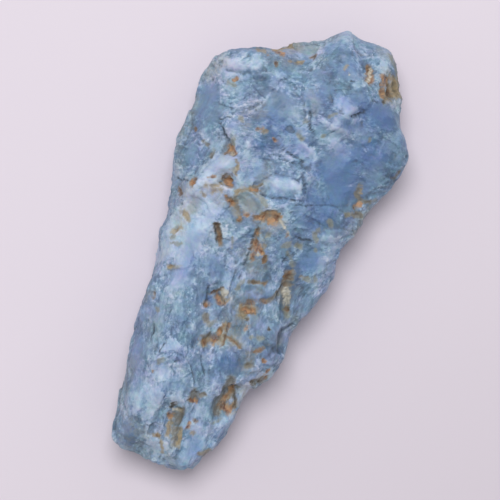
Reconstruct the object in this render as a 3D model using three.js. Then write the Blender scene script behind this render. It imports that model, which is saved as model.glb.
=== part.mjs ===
// A rough blue opal: one broken lump of common opal, lying on its flattest break.
// Millimetres, +Z up. +Y runs along the stone to its wide end and +X to the right of it, seen from above.
// The origin is on the surface that the stone rests on, under the middle of the stone.
import * as THREE from "three";
import { ImprovedNoise } from "three/addons/math/ImprovedNoise.js";
import { mergeVertices } from "three/addons/utils/BufferGeometryUtils.js";

const { clamp, degToRad, lerp, seededRandom, smoothstep } = THREE.MathUtils;

// ---- driving dimensions ----------------------------------------------------------------------------

const RIM_HEIGHT = 8.2; // where the stone is widest, above the face it rests on
const RIM_REACH = 0.95; // share of the outline that the upper and lower faces cover before the wall
const SQUARENESS = 3.4; // 2 is a round wall, higher is a squarer one
const CREASE = 0.5; // how far two breaks blend where they meet

const CELLS_ACROSS = 28;
const CELLS_ALONG = 58;
const CELLS_DEEP = 9;
const STRAY = 0.32; // how far a vertex strays from its row, in cells, so that no facets line up
const STEP = 0.8; // how far a ledge's edge is rounded, on each side of its line
const LEDGE_END = 3; // how far past the end of its line a ledge dies out

// The outline seen from above, as four edges that share their corners.
// The ends run from left to right, and the sides run from the narrow end to the wide one.
const WIDE_END = [
  [-18.8, 27.4], [-17.3, 29.6], [-15.2, 31.5], [-12.0, 33.1], [-9.0, 34.5], [-5.6, 37.3],
  [-2.2, 39.6], [0.6, 42.3], [3.8, 42.7], [7.4, 42.8], [10.4, 41.7], [13.3, 38.4],
];
const NARROW_END = [
  [-7.4, -38.6], [-6.2, -40.7], [-4.6, -42.0], [-1.5, -42.5], [2.2, -42.6], [5.6, -42.0],
  [7.7, -40.6], [8.6, -38.9], [9.6, -37.3],
];
const LEFT_SIDE = [
  [-7.4, -38.6], [-8.6, -34.8], [-9.1, -31.2], [-9.8, -27.6], [-11.1, -22.6], [-12.4, -17.6],
  [-13.2, -12.8], [-13.5, -8.2], [-14.2, -4.6], [-14.2, -1.0], [-16.1, 3.6], [-18.0, 7.8],
  [-18.9, 12.0], [-19.6, 15.4], [-19.2, 19.4], [-19.9, 23.2], [-19.7, 25.8], [-18.8, 27.4],
];
const RIGHT_SIDE = [
  [9.6, -37.3], [11.5, -34.2], [11.7, -30.5], [11.4, -26.0], [11.2, -23.0], [12.8, -21.8],
  [14.8, -18.6], [14.8, -14.0], [14.2, -11.0], [15.0, -7.6], [15.8, -4.4], [17.0, -0.5],
  [17.1, 2.6], [16.2, 6.8], [17.1, 10.4], [17.6, 14.4], [18.8, 17.4], [19.9, 21.2],
  [19.9, 25.0], [19.0, 28.0], [16.1, 31.9], [14.9, 35.2], [13.3, 38.4],
];

// The large breaks: each is a plane through a point, with its rise per millimetre of x and of y.
const UPPER_BREAKS = [
  { through: [-4, 0, 17.2], rise: [0.02, 0.05] }, // the main face
  { through: [-14, 12, 16.4], rise: [0.95, 0.0] }, // the left flank
  { through: [4, 22, 17.4], rise: [-0.26, 0.05] }, // the blue side
  { through: [9.5, -4, 15.6], rise: [-0.5, 0.04] }, // the lower right
  { through: [-4, 34, 17.4], rise: [0.1, -0.5] }, // the bevel at the wide end
  { through: [0, -34, 14.6], rise: [0.0, 0.4] }, // the toe
];
const LOWER_BREAKS = [
  { through: [-2, 4, -0.5], rise: [0.01, 0.0] }, // the flattest break, which the stone rests on
  { through: [8, 0, 0.0], rise: [0.36, 0.0] },
  { through: [-12, 0, 0.0], rise: [-0.5, 0.03] },
  { through: [0, -24, 0.0], rise: [0.06, -0.2] },
  { through: [0, 27, 0.0], rise: [0.05, 0.34] },
];

// Scars where flakes came off: shallow round hollows with a sharp rim.
const UPPER_SCARS = [
  { at: [-9.8, 24.4], across: 11, deep: 1.5 }, // the swirl
  { at: [-3.4, 25.4], across: 8.5, deep: 0.8 }, // the shield beside it
  { at: [10.8, 17.2], across: 15, deep: 1.5 }, // the smooth blue hollow
  { at: [12.8, 32.6], across: 7.5, deep: 0.8 },
  { at: [12.4, 2.4], across: 10, deep: 0.9 },
  { at: [-4.2, 33.8], across: 9, deep: 0.8 },
  { at: [-10.6, 1.6], across: 9, deep: 0.6 },
  { at: [-4.0, -27.0], across: 7, deep: 0.5 },
  { at: [6.2, -36.0], across: 7, deep: 0.6 },
];
const LOWER_SCARS = [
  { at: [-10, 27], across: 15, deep: 1.6 },
  { at: [12, 12], across: 16, deep: 1.8 },
  { at: [9, -14], across: 13, deep: 1.3 },
  { at: [-5, -31], across: 13, deep: 1.4 },
  { at: [4, 36], across: 11, deep: 1.1 },
];

// Lumps: oval swellings with steep sides, each turned counterclockwise by so many degrees.
const UPPER_LUMPS = [
  { at: [1.8, 12.7], size: [9.4, 5.0], turn: 8, high: 1.3 }, // the boss at the middle
  { at: [-14.2, 29.6], size: [9.5, 4.2], turn: 18, high: 1.3 }, // the pale lobe at the corner
  { at: [6.2, 30.0], size: [5.6, 4.4], turn: -20, high: 0.9 },
  { at: [6.0, 25.9], size: [5.4, 2.6], turn: -12, high: 0.7 },
  { at: [1.8, 37.2], size: [6.5, 7.0], turn: 30, high: 0.7 },
  { at: [-9.6, 11.8], size: [5.6, 4.2], turn: 50, high: 0.8 },
  { at: [12.4, -16.4], size: [5.4, 8.6], turn: 0, high: 1.0 },
  { at: [-8.0, -12.0], size: [5, 22], turn: 8, high: 0.5 }, // the long pale swell down the left
  { at: [-3.4, -33.0], size: [5, 12], turn: 6, high: 0.5 },
  { at: [5.6, -39.6], size: [6, 4.6], turn: 20, high: 0.7 },
];
const LOWER_LUMPS = [
  { at: [-13, 10], size: [9, 16], turn: 10, high: 0.9 },
  { at: [10, 27], size: [12, 9], turn: -25, high: 0.9 },
  { at: [4, -27], size: [8, 15], turn: 5, high: 0.8 },
];

// Pits eaten into the stone where rust has weathered out.
const PITS = [
  { at: [9.4, -26.8], size: [4.6, 7.6], turn: -6, deep: 2.2 },
  { at: [1.2, -32.8], size: [4.4, 6.0], turn: 12, deep: 1.8 },
  { at: [12.2, 37.0], size: [4.8, 5.4], turn: 0, deep: 1.2 },
  { at: [13.6, -12.6], size: [3.4, 5.2], turn: 4, deep: 1.7 },
  { at: [-7.8, 9.2], size: [4.2, 3.4], turn: -20, deep: 1.2 },
  { at: [-9.4, 14.3], size: [3.8, 3.2], turn: 0, deep: 1.0 },
  { at: [5.4, -9.6], size: [6.2, 3.6], turn: 35, deep: 1.1 },
  { at: [1.6, -17.8], size: [6.0, 3.6], turn: 40, deep: 1.1 },
  { at: [-0.6, -10.8], size: [4.4, 4.4], turn: 0, deep: 1.0 },
  { at: [3.4, -28.6], size: [4.0, 4.0], turn: 0, deep: 1.0 },
  { at: [7.5, 37.2], size: [3.2, 5.0], turn: 12, deep: 1.0 },
];

// Ledges: walked from its first point, the ground right of each line lies lower and climbs back slowly.
const LEDGES = [
  { along: [[-8.5, 29.6], [-4, 29.4], [-1.4, 27.9], [-0.2, 25.6], [-0.8, 22.8]], drop: 0.9, reach: 5 },
  { along: [[-17.4, 25.2], [-13.8, 19.4], [-10.6, 15.2], [-12.4, 8.2], [-14.6, 2.0]], drop: 0.9, reach: 6 },
  { along: [[14.5, 14.6], [9, 12.6], [4, 10.8], [-0.4, 9.8], [-4.2, 10.2]], drop: 0.6, reach: 4 },
  { along: [[4.8, 6.4], [5.4, 0.2], [8.6, -7.0], [9.4, -12.0]], drop: 0.6, reach: 5 },
  { along: [[-4.0, 38.6], [-3.0, 35.4], [-2.6, 32.2]], drop: 0.7, reach: 4 },
  { along: [[-2.8, 23.6], [1.6, 21.4], [4.6, 17.0], [5.2, 14.2]], drop: 0.6, reach: 4 },
  { along: [[0.8, 3.8], [0.6, -3.6]], drop: 0.5, reach: 4 },
];
const GROOVE = { along: [[8.0, 2.4], [9.0, -1.4], [10.4, -5.0], [12.2, -9.0]], wide: 2.4, deep: 0.9 };

// Flakes: the broken grain of the whole surface, as small leaning dishes that meet in sharp ridges.
const FLAKES = [
  { size: 8, depth: 0.36, lean: 0.2 },
  { size: 4.2, depth: 0.26, lean: 0.16 },
];
const DISH_MEAN = 0.23; // the dishes' average height, as a share of size and depth, which is left out
const SCAR_CALM = 0.7; // how much of the grain is missing in the middle of a fresh scar
const RIM_BAND = 0.6; // the upward share of a normal from which scars, lumps and pits have their full depth
const RIM_GRAIN = 0.4; // share of the grain that reaches the outline
const SWELLS = [
  { size: 13, high: 0.7 },
  { size: 5, high: 0.3 },
];

const SEED = 7;
const CELL_SEEDS = new THREE.Vector3(7919, 104729, 1299709); // primes, so that no two near cells are alike
const BLUE = "#7b9bc4";

const total = (list, height) => list.reduce((all, item) => all + height(item), 0);

// ---- the form --------------------------------------------------------------------------------------

const curve = (points) => new THREE.SplineCurve(points.map(([x, y]) => new THREE.Vector2(x, y)));
const wideEnd = curve(WIDE_END);
const narrowEnd = curve(NARROW_END);
const leftSide = curve(LEFT_SIDE);
const rightSide = curve(RIGHT_SIDE);

// A place inside the outline, for a and b from -1 to 1 across and along the stone.
function insideOutline(a, b) {
  const u = (a + 1) / 2;
  const v = (b + 1) / 2;
  const across = narrowEnd.getPointAt(u).lerp(wideEnd.getPointAt(u), v);
  const along = leftSide.getPointAt(v).lerp(rightSide.getPointAt(v), u);
  const low = narrowEnd.getPointAt(0).lerp(narrowEnd.getPointAt(1), u);
  const high = wideEnd.getPointAt(0).lerp(wideEnd.getPointAt(1), u);
  return across.add(along).sub(low.lerp(high, v));
}

// The quarter of a squared circle: how much is left of one side when the other has gone this far out.
const squaredCircle = (share) => Math.pow(1 - Math.pow(Math.abs(share), SQUARENESS), 1 / SQUARENESS);
const WALL_SHARE = squaredCircle(RIM_REACH);

function planeHeight({ through: [px, py, pz], rise: [riseX, riseY] }, x, y) {
  return pz + riseX * (x - px) + riseY * (y - py);
}

// The lowest of the planes, blended a little where two meet. With sign -1 it is the highest.
function meet(planes, x, y, sign) {
  const sum = total(planes, (plane) => Math.exp((-sign * planeHeight(plane, x, y)) / CREASE));
  return -sign * CREASE * Math.log(sum);
}

// Moves one point of a box that is 2 units each way a little along the faces that it lies on.
function stray(p) {
  const cell = { x: 2 / CELLS_ACROSS, y: 2 / CELLS_ALONG, z: 2 / CELLS_DEEP };
  for (const axis of ["x", "y", "z"]) {
    const draw = 2 * seededRandom() - 1;
    if (Math.abs(p[axis]) < 1) p[axis] += draw * STRAY * cell[axis];
  }
}

// Moves one point of that box to its place on the unweathered lump.
function toLump(p) {
  const plan = squaredCircle(WALL_SHARE * p.z);
  const rest = p.z * squaredCircle(RIM_REACH * p.x) * squaredCircle(RIM_REACH * p.y);
  const { x, y } = insideOutline(plan * p.x, plan * p.y);
  const face = rest > 0 ? meet(UPPER_BREAKS, x, y, 1) : meet(LOWER_BREAKS, x, y, -1);
  return p.set(x, y, lerp(RIM_HEIGHT, face, Math.abs(rest)));
}

// ---- the relief ------------------------------------------------------------------------------------

// How far out of an oval a point is: 0 at its middle and 1 at its edge.
function ovalShare({ at: [ax, ay], size: [wide, long], turn = 0 }, x, y) {
  const cos = Math.cos(degToRad(turn));
  const sin = Math.sin(degToRad(turn));
  const across = (x - ax) * cos + (y - ay) * sin;
  const along = (y - ay) * cos - (x - ax) * sin;
  return Math.hypot(across / (wide / 2), along / (long / 2));
}

const bowl = (oval, x, y) => Math.max(0, 1 - ovalShare(oval, x, y) ** 2);
const dome = (oval, x, y) => Math.sqrt(bowl(oval, x, y));
const freshness = ({ at, across }, x, y) => bowl({ at, size: [across, across] }, x, y);

const scar = (s, x, y) => -s.deep * freshness(s, x, y);
const lump = (l, x, y) => l.high * dome(l, x, y);
const pit = (p, x, y) => -p.deep * dome(p, x, y);

// The nearest point of a line of points: how far it is, on which side, and how far past the line's ends.
function nearestOnLine(along, x, y) {
  let best = { distance: Infinity };
  for (let i = 1; i < along.length; i++) {
    const [ax, ay] = along[i - 1];
    const dx = along[i][0] - ax;
    const dy = along[i][1] - ay;
    const t = ((x - ax) * dx + (y - ay) * dy) / (dx * dx + dy * dy);
    const held = clamp(t, 0, 1);
    const distance = Math.hypot(x - ax - held * dx, y - ay - held * dy);
    const side = Math.sign(dx * (y - ay) - dy * (x - ax));
    const ends = (i === 1 && t < 0) || (i === along.length - 1 && t > 1);
    const past = ends ? Math.abs(t - held) * Math.hypot(dx, dy) : 0;
    if (distance < best.distance) best = { distance, side, past };
  }
  return best;
}

function ledge({ along, drop, reach }, x, y) {
  const { distance, side, past } = nearestOnLine(along, x, y);
  const fallen = smoothstep(-side * distance, -STEP, STEP);
  return -drop * fallen * Math.exp(-distance / reach) * Math.max(0, 1 - past / LEDGE_END);
}

function groove({ along, wide, deep }, x, y) {
  const { distance } = nearestOnLine(along, x, y);
  return -deep * Math.exp(-((distance / (wide / 2)) ** 2));
}

// The dish of one cell of a cubic lattice: the place of its middle and its lean, the same at every build.
function dish(cell) {
  seededRandom(cell.dot(CELL_SEEDS));
  const draw = () => seededRandom();
  const middle = new THREE.Vector3(draw(), draw(), draw()).add(cell);
  const lean = new THREE.Vector3(draw(), draw(), draw()).subScalar(0.5).multiplyScalar(2);
  return { middle, lean };
}

// The lowest of the dishes round a point, which meet their neighbours in ridges.
function flake({ size, depth, lean }, point) {
  const place = point.clone().divideScalar(size);
  const home = place.clone().floor();
  let lowest = Infinity;
  for (let i = -1; i <= 1; i++)
    for (let j = -1; j <= 1; j++)
      for (let k = -1; k <= 1; k++) {
        const near = dish(new THREE.Vector3(i, j, k).add(home));
        const out = place.clone().sub(near.middle);
        lowest = Math.min(lowest, depth * out.lengthSq() + lean * out.dot(near.lean));
      }
  return size * (lowest - depth * DISH_MEAN);
}

const noise = new ImprovedNoise();
const swell = ({ size, high }, { x, y, z }) => high * noise.noise(x / size, y / size, z / size + SEED);

// How far the surface stands out at a point of the lump, along its normal.
function relief(point, normal) {
  const { x, y } = point;
  const upright = Math.sign(normal.z) * smoothstep(Math.abs(normal.z), 0, RIM_BAND);
  const upper =
    total(UPPER_SCARS, (s) => scar(s, x, y)) +
    total(UPPER_LUMPS, (l) => lump(l, x, y)) +
    total(PITS, (p) => pit(p, x, y)) +
    total(LEDGES, (l) => ledge(l, x, y)) +
    groove(GROOVE, x, y);
  const lower = total(LOWER_SCARS, (s) => scar(s, x, y)) + total(LOWER_LUMPS, (l) => lump(l, x, y));
  const placed = upright > 0 ? upright * upper : -upright * lower;
  const scars = upright > 0 ? UPPER_SCARS : LOWER_SCARS;
  const calm = SCAR_CALM * Math.max(...scars.map((s) => freshness(s, x, y)));
  const flakes = total(FLAKES, (f) => flake(f, point)) * (1 - calm);
  const grain = flakes + total(SWELLS, (s) => swell(s, point));
  return placed + grain * lerp(RIM_GRAIN, 1, Math.abs(normal.z));
}

// ---- the solid -------------------------------------------------------------------------------------

// Calls change(point, index) on every vertex of a geometry and keeps what it does to the point.
function moveVertices(geometry, change) {
  const position = geometry.getAttribute("position");
  const point = new THREE.Vector3();
  for (let i = 0; i < position.count; i++) {
    change(point.fromBufferAttribute(position, i), i);
    position.setXYZ(i, point.x, point.y, point.z);
  }
  position.needsUpdate = true;
}

function closedBox() {
  const box = new THREE.BoxGeometry(2, 2, 2, CELLS_ACROSS, CELLS_ALONG, CELLS_DEEP);
  box.deleteAttribute("normal");
  box.deleteAttribute("uv");
  return mergeVertices(box);
}

// Splits each quad of the grid along the diagonal that stands out further, so that ridges run unbroken.
function splitAlongRidges(geometry) {
  const position = geometry.getAttribute("position");
  const index = geometry.getIndex();
  const corner = (i) => new THREE.Vector3().fromBufferAttribute(position, i);
  for (let i = 0; i < index.count; i += 6) {
    const [a, b, d, , c] = index.array.slice(i, i + 6);
    const out = corner(c).sub(corner(a)).cross(corner(d).sub(corner(b)));
    const rise = corner(a).add(corner(c)).sub(corner(b)).sub(corner(d)).dot(out);
    if (rise > 0) index.array.set([a, b, c, a, c, d], i);
  }
}

function opalGeometry() {
  const geometry = closedBox();
  seededRandom(SEED);
  moveVertices(geometry, stray);
  moveVertices(geometry, toLump);
  geometry.computeVertexNormals();
  const normals = geometry.getAttribute("normal").clone();
  const normal = new THREE.Vector3();
  moveVertices(geometry, (point, i) => {
    normal.fromBufferAttribute(normals, i);
    point.addScaledVector(normal, relief(point, normal));
    point.z = Math.max(point.z, 0);
  });
  geometry.computeBoundingBox();
  const middle = geometry.boundingBox.getCenter(new THREE.Vector3());
  geometry.translate(-middle.x, -middle.y, 0);
  splitAlongRidges(geometry);
  geometry.computeVertexNormals();
  return geometry;
}

const opal = new THREE.Mesh(
  opalGeometry(),
  new THREE.MeshStandardMaterial({ color: BLUE, roughness: 0.45, metalness: 0 }),
);
opal.name = "rough_opal";

const part = new THREE.Group();
part.add(opal);

export default part;
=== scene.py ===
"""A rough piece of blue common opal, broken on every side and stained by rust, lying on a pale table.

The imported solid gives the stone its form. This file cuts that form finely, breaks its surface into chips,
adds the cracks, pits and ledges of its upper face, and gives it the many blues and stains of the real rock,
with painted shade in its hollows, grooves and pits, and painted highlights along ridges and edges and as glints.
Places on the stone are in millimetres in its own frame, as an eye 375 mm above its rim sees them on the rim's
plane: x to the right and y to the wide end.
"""

import math

import bmesh
import bpy
import numpy as np
from bpy.props import FloatProperty, FloatVectorProperty, IntProperty, PointerProperty
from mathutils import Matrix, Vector, noise


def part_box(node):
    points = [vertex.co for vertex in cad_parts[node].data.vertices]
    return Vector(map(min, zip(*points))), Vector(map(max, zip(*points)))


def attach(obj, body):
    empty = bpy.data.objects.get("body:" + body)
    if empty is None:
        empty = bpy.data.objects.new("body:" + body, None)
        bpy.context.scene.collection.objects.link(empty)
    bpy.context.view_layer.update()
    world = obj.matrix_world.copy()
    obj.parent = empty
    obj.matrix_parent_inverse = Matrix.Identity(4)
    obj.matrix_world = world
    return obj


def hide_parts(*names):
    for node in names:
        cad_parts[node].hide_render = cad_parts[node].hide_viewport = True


bl_info = {
    "name": "Rough Blue Opal",
    "version": (1, 0, 0),
    "blender": (4, 5, 0),
    "location": "View3D > Sidebar > Opal",
    "description": "Adds a rough piece of blue common opal and a pale table to look at it on",
    "category": "Add Mesh",
}

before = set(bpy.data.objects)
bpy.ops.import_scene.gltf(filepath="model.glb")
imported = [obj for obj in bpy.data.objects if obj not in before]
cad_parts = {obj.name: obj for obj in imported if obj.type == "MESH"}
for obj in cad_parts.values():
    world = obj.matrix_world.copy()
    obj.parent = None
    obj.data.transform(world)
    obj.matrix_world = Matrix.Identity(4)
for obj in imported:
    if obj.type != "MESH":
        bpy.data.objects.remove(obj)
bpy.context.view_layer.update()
LOW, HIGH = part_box("rough_opal")

MM = 0.001


def linear(hex_colour):
    """Turns an sRGB hex colour into linear red, green and blue."""
    shares = (int(hex_colour[i : i + 2], 16) / 255 for i in (1, 3, 5))
    return tuple(s / 12.92 if s <= 0.04045 else ((s + 0.055) / 1.055) ** 2.4 for s in shares)


# ---- places on the stone ---------------------------------------------------------------------------
# A stroke is a run of (x, y, width), and one place alone is a round spot. A table groups its strokes by what
# they share, such as their strength, and lists each group from the wide end to the narrow one.

# Where the blue is paler (above 0) or deeper (below 0) than usual, by how much. Most strokes are the stone's own
# tone; some tiny bright spots are painted glints, and a few dark strokes are painted shade: in a groove, beside
# steps, in the notch, and as a cast shadow over the wide end's left rim.
TONES = {
    # painted glints
    1.6: [[(12.2, 24.6, 0.35), (12.6, 24.4, 0.3)], [(1.75, 2.5, 0.35)]],
    1.4: [
        # the last two strokes are painted glints
        [(9.3, 29.2, 0.4)], [(15.5, 24.7, 0.4)], [(16.9, 23.9, 0.4)],
        [(-9.2, 10.5, 2.5), (-11.5, 5.5, 3.0)], [(-9.0, 7.2, 0.5), (-6.5, 7.9, 0.6)], [(11.4, -23.8, 2.2)],
        # a painted glint
        [(6.3, -27.1, 0.6)],
    ],
    1.2: [
        [(2.4, 27.5, 0.3)], [(-12.8, 1.0, 2.5), (-12.8, -9.0, 2.2)],
        [(12.8, -21.0, 1.6), (14.2, -19.4, 2.0)],
    ],
    1.1: [[(-4.0, -29.6, 1.0), (-3.4, -32.0, 1.5), (-2.9, -34.6, 1.3)]],
    1.0: [
        [(-7.5, 26.4, 0.5), (-7.8, 24.2, 0.6), (-9.4, 22.0, 0.5)],
        [(1.8, 20.9, 1.3), (3.2, 20.4, 1.5), (4.0, 19.5, 0.9)],
        [(-12.2, 8.6, 2.4), (-9.6, 11.6, 3.4), (-8.4, 12.6, 2.2)], [(-5.0, -22.0, 3.0)],
    ],
    0.9: [
        [(2.6, 26.3, 1.1), (4.8, 25.8, 1.2), (7.8, 25.9, 0.9)], [(9.0, 22.0, 3.0), (8.0, 19.0, 3.0)],
        [(-7.3, 16.6, 1.3)], [(-8.8, 1.0, 2.2), (-8.6, -2.0, 2.6), (-9.2, -5.0, 2.8)],
        [(-12.0, -0.9, 1.6), (-10.8, -3.6, 1.8)], [(-8.8, -9.8, 2.2), (-8.2, -12.4, 2.8)],
        [(11.0, -24.0, 2.5)],
    ],
    0.85: [[(-0.2, 11.6, 3.0), (2.0, 12.6, 3.6), (4.0, 13.2, 2.6)]],
    0.8: [
        [(-2.9, 36.4, 0.6), (-2.6, 34.8, 0.9), (-2.2, 33.6, 0.5)], [(4.6, 30.4, 2.6), (7.0, 29.8, 2.6)],
        [(6.5, 23.5, 3.5)], [(0.4, 17.7, 0.9), (1.2, 17.5, 1.1)], [(-6.0, 16.5, 2.5), (-5.0, 14.0, 2.5)],
        [(-8.4, 10.2, 2.0)], [(-8.8, 6.8, 2.2), (-10.4, 4.8, 2.6), (-12.6, 3.8, 2.4)],
        [(-9.6, 3.4, 2.6), (-7.4, 3.0, 2.4)], [(-0.9, 3.4, 0.9), (-1.9, 1.0, 1.0), (-2.9, -1.8, 0.8)],
        [(-10.5, 0.0, 4.0), (-10.0, -7.0, 4.0)], [(1.0, -31.0, 3.0)],
        [(1.8, -37.4, 0.7), (2.6, -39.4, 0.8)],
    ],
    0.75: [[(5.2, -30.8, 2.6), (6.4, -33.6, 2.4)]],
    0.7: [
        [(-8.4, 10.6, 1.0)], [(-12.2, 9.0, 1.2), (-12.6, 6.9, 1.4)], [(12.0, 7.0, 1.4), (13.5, 7.7, 1.2)],
        [(-4.4, 1.6, 0.5), (-3.6, -0.6, 0.6)], [(-10.8, -6.6, 2.4), (-8.0, -7.0, 2.0)],
        [(2.6, -20.6, 1.6), (3.8, -22.2, 1.4)],
    ],
    0.65: [[(-16.8, 7.0, 2.6)], [(8.2, -17.2, 2.4)], [(5.2, -19.8, 2.6)]],
    0.6: [
        [(-5.5, 36.0, 2.5), (-3.0, 37.0, 2.0)], [(14.0, 34.0, 2.5)], [(8.6, 29.4, 2.2)],
        [(-15.5, 28.0, 3.0)], [(2.2, 19.8, 2.4)], [(5.0, 16.0, 3.0), (2.0, 18.5, 2.0)], [(7.2, 15.0, 3.4)],
        [(-7.0, 15.0, 1.2), (-6.2, 13.2, 1.2)], [(-6.5, 10.5, 3.0)], [(14.5, 7.0, 2.5)],
        [(14.6, 4.6, 1.8), (14.0, 0.8, 1.4)], [(-8.4, -14.1, 0.9), (-6.4, -14.2, 0.9)],
        [(-5.0, -26.0, 4.0), (-7.0, -35.0, 4.0)],
        [(10.5, -28.0, 2.5), (9.0, -34.0, 3.0), (7.0, -39.0, 3.0)],
        [(-2.4, -31.6, 1.4), (-2.2, -34.6, 1.4)], [(-3.8, -35.2, 2.6)], [(6.8, -36.2, 2.8)],
        [(0.8, -39.4, 2.0), (-1.0, -40.0, 1.4)], [(3.0, -40.9, 1.0), (4.6, -41.2, 1.2)],
    ],
    0.5: [
        [(5.0, 40.5, 2.0), (9.0, 39.5, 2.5)], [(5.8, 34.0, 1.6)], [(-12.4, 31.6, 1.4), (-10.4, 31.2, 1.6)],
        [(-17.6, 27.9, 2.0), (-14.5, 29.0, 2.6), (-11.2, 30.0, 2.0)],
        [(-3.4, 29.0, 0.5), (-1.0, 27.6, 0.5), (0.1, 25.6, 0.6)], [(-16.0, 27.0, 3.0)],
        [(-4.9, 21.6, 0.4), (-3.6, 20.8, 0.4), (-1.6, 20.6, 0.4)], [(-8.7, 11.2, 0.8)],
        [(12.4, 8.7, 0.9), (14.4, 9.2, 0.9)], [(0.4, 8.6, 1.4), (3.6, 8.4, 2.4)], [(-11.5, 3.0, 3.0)],
        [(7.0, -5.8, 0.8), (7.6, -4.8, 0.8)], [(7.8, -9.2, 1.2), (9.6, -8.0, 1.0)], [(10.7, -24.6, 1.2)],
        [(5.0, -25.5, 3.0)], [(-3.6, -27.2, 2.4)], [(-3.0, -32.0, 3.0)],
        [(-5.9, -32.8, 1.2), (-5.2, -36.0, 1.2)], [(6.0, -34.0, 2.5)], [(0.5, -40.0, 3.0)],
    ],
    0.45: [[(3.2, 32.4, 3.0), (5.0, 31.0, 3.0), (4.6, 28.4, 2.0)]],
    0.4: [
        [(8.2, 40.9, 1.4), (10.0, 39.2, 1.6)], [(2.0, 29.6, 1.8)], [(8.2, 29.4, 1.4)],
        [(1.8, 29.4, 1.2), (8.2, 28.8, 1.2)], [(-3.6, 28.6, 2.4)], [(-15.4, 25.4, 4.0), (-14.0, 28.0, 2.4)],
        [(-8.4, 25.6, 2.4), (-7.4, 23.6, 2.4)],
        [(-19.0, 24.5, 3.0), (-17.0, 18.0, 4.0), (-12.0, 14.5, 3.0)], [(-14.0, 14.0, 4.0)],
        [(-9.2, -3.0, 3.0), (-8.2, -9.4, 2.4)], [(2.3, -17.5, 2.5)],
        [(-1.2, -22.0, 1.6), (-1.0, -24.0, 1.2)], [(10.6, -24.4, 1.0), (11.0, -26.0, 0.6)],
        [(5.2, -36.4, 1.2), (7.6, -38.6, 1.2)], [(2.6, -39.4, 2.4)], [(1.5, -41.5, 2.0)],
    ],
    0.35: [
        [(3.0, 33.6, 2.0)], [(-7.6, 7.0, 1.2), (-8.0, -4.6, 1.6)], [(15.6, -2.0, 2.0)], [(-6.8, -4.2, 2.4)],
        [(8.0, -17.6, 1.6), (10.6, -16.0, 1.4), (12.6, -20.0, 1.2)], [(1.4, -16.8, 2.0)],
        [(1.8, -17.2, 1.4)], [(9.2, -18.0, 1.6)], [(7.0, -27.6, 1.6)],
    ],
    0.3: [
        [(-9.0, 29.8, 2.4), (-6.4, 29.4, 2.4)], [(-14.0, 26.8, 1.6)], [(-7.2, 25.0, 2.4)],
        [(-14.0, 24.0, 3.0), (-10.0, 25.0, 4.0)], [(1.4, 20.8, 1.6)],
        [(-12.0, -3.6, 1.2), (-12.0, 3.8, 1.4)], [(-6.0, -0.8, 1.6)],
        [(-7.4, -1.4, 2.4), (-8.8, -3.2, 2.4)], [(4.4, -3.2, 1.6)], [(3.0, -6.0, 3.0)],
        [(-3.0, -17.6, 2.4)], [(3.6, -24.4, 2.0)], [(-9.6, -28.6, 1.2)], [(-9.0, -31.6, 1.2)],
    ],
    0.25: [
        [(3.0, 34.4, 2.0), (1.6, 29.4, 1.4)], [(-6.0, 29.0, 2.4), (-7.0, 25.0, 2.4)], [(6.4, 25.0, 1.6)],
        [(9.6, 23.0, 3.0)], [(-11.4, -10.8, 2.4)], [(-3.4, -23.4, 2.6)],
    ],
    0.2: [[(3.4, 38.2, 3.0)], [(-0.4, -30.0, 3.0)]],
    -0.2: [[(-8.5, -27.0, 3.0), (-7.5, -31.0, 3.0)], [(-7.4, -31.0, 3.0)]],
    -0.3: [
        [(14.0, 36.6, 2.0)], [(1.4, 13.8, 1.8)], [(0.8, 13.2, 1.6), (2.8, 13.6, 1.4)], [(15.8, 13.6, 1.4)],
        [(16.2, 13.0, 2.4)], [(15.0, 10.0, 2.4)], [(-12.6, 7.8, 1.0)], [(-12.2, 7.6, 1.2)],
        [(-9.0, 1.6, 1.0)], [(4.2, 0.4, 2.5)], [(-3.6, -5.4, 2.4), (-2.4, -7.6, 2.4)], [(3.6, -6.4, 1.8)],
        [(11.0, -11.0, 1.6)], [(-9.2, -31.5, 1.6)],
    ],
    -0.35: [
        [(-16.0, 28.8, 1.2), (-14.2, 29.4, 1.2)], [(4.8, 22.6, 1.8)], [(-3.4, 9.0, 1.8)],
        [(8.6, 4.0, 2.5), (10.8, 7.5, 2.0)], [(8.8, -3.2, 1.6), (12.4, -2.0, 2.0)], [(13.6, -17.0, 1.2)],
        [(0.4, -20.2, 2.4)],
    ],
    -0.4: [
        [(1.0, 33.4, 2.4), (3.0, 32.2, 2.0)], [(5.2, 27.8, 1.4)], [(-16.0, 21.0, 5.0), (-16.0, 17.0, 5.0)],
        [(7.2, 16.6, 3.4)], [(-19.0, 13.6, 1.0)], [(-12.4, 8.0, 1.6)], [(-1.5, 7.0, 3.0)],
        [(2.4, -2.8, 3.0), (5.0, -2.4, 2.6)], [(9.4, -3.8, 1.4)], [(11.6, -5.4, 1.0), (11.8, -9.4, 1.4)],
        [(0.0, -18.0, 2.0)], [(-2.0, -20.0, 2.5)], [(0.4, -21.2, 1.8), (0.6, -24.4, 2.2)],
        [(7.2, -32.0, 1.6)], [(5.6, -32.6, 1.6)], [(10.6, -33.0, 1.4), (9.2, -36.0, 1.4)],
    ],
    -0.45: [
        [(-1.2, 32.6, 2.6)], [(-7.2, 18.6, 3.4)], [(-6.2, 16.0, 2.4), (-2.6, 17.0, 3.0), (-1.2, 15.6, 2.4)],
        [(17.5, 14.4, 0.8), (17.0, 11.0, 0.8)],
    ],
    -0.5: [
        [(7.0, 40.0, 2.0)], [(5.4, 39.4, 1.6), (6.2, 36.8, 1.2)], [(-1.0, 37.0, 1.8), (1.2, 38.2, 2.0)],
        [(6.5, 33.0, 3.0)], [(-10.0, 31.8, 2.5), (-7.0, 31.5, 2.5)], [(-7.0, 22.5, 3.0)],
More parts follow.
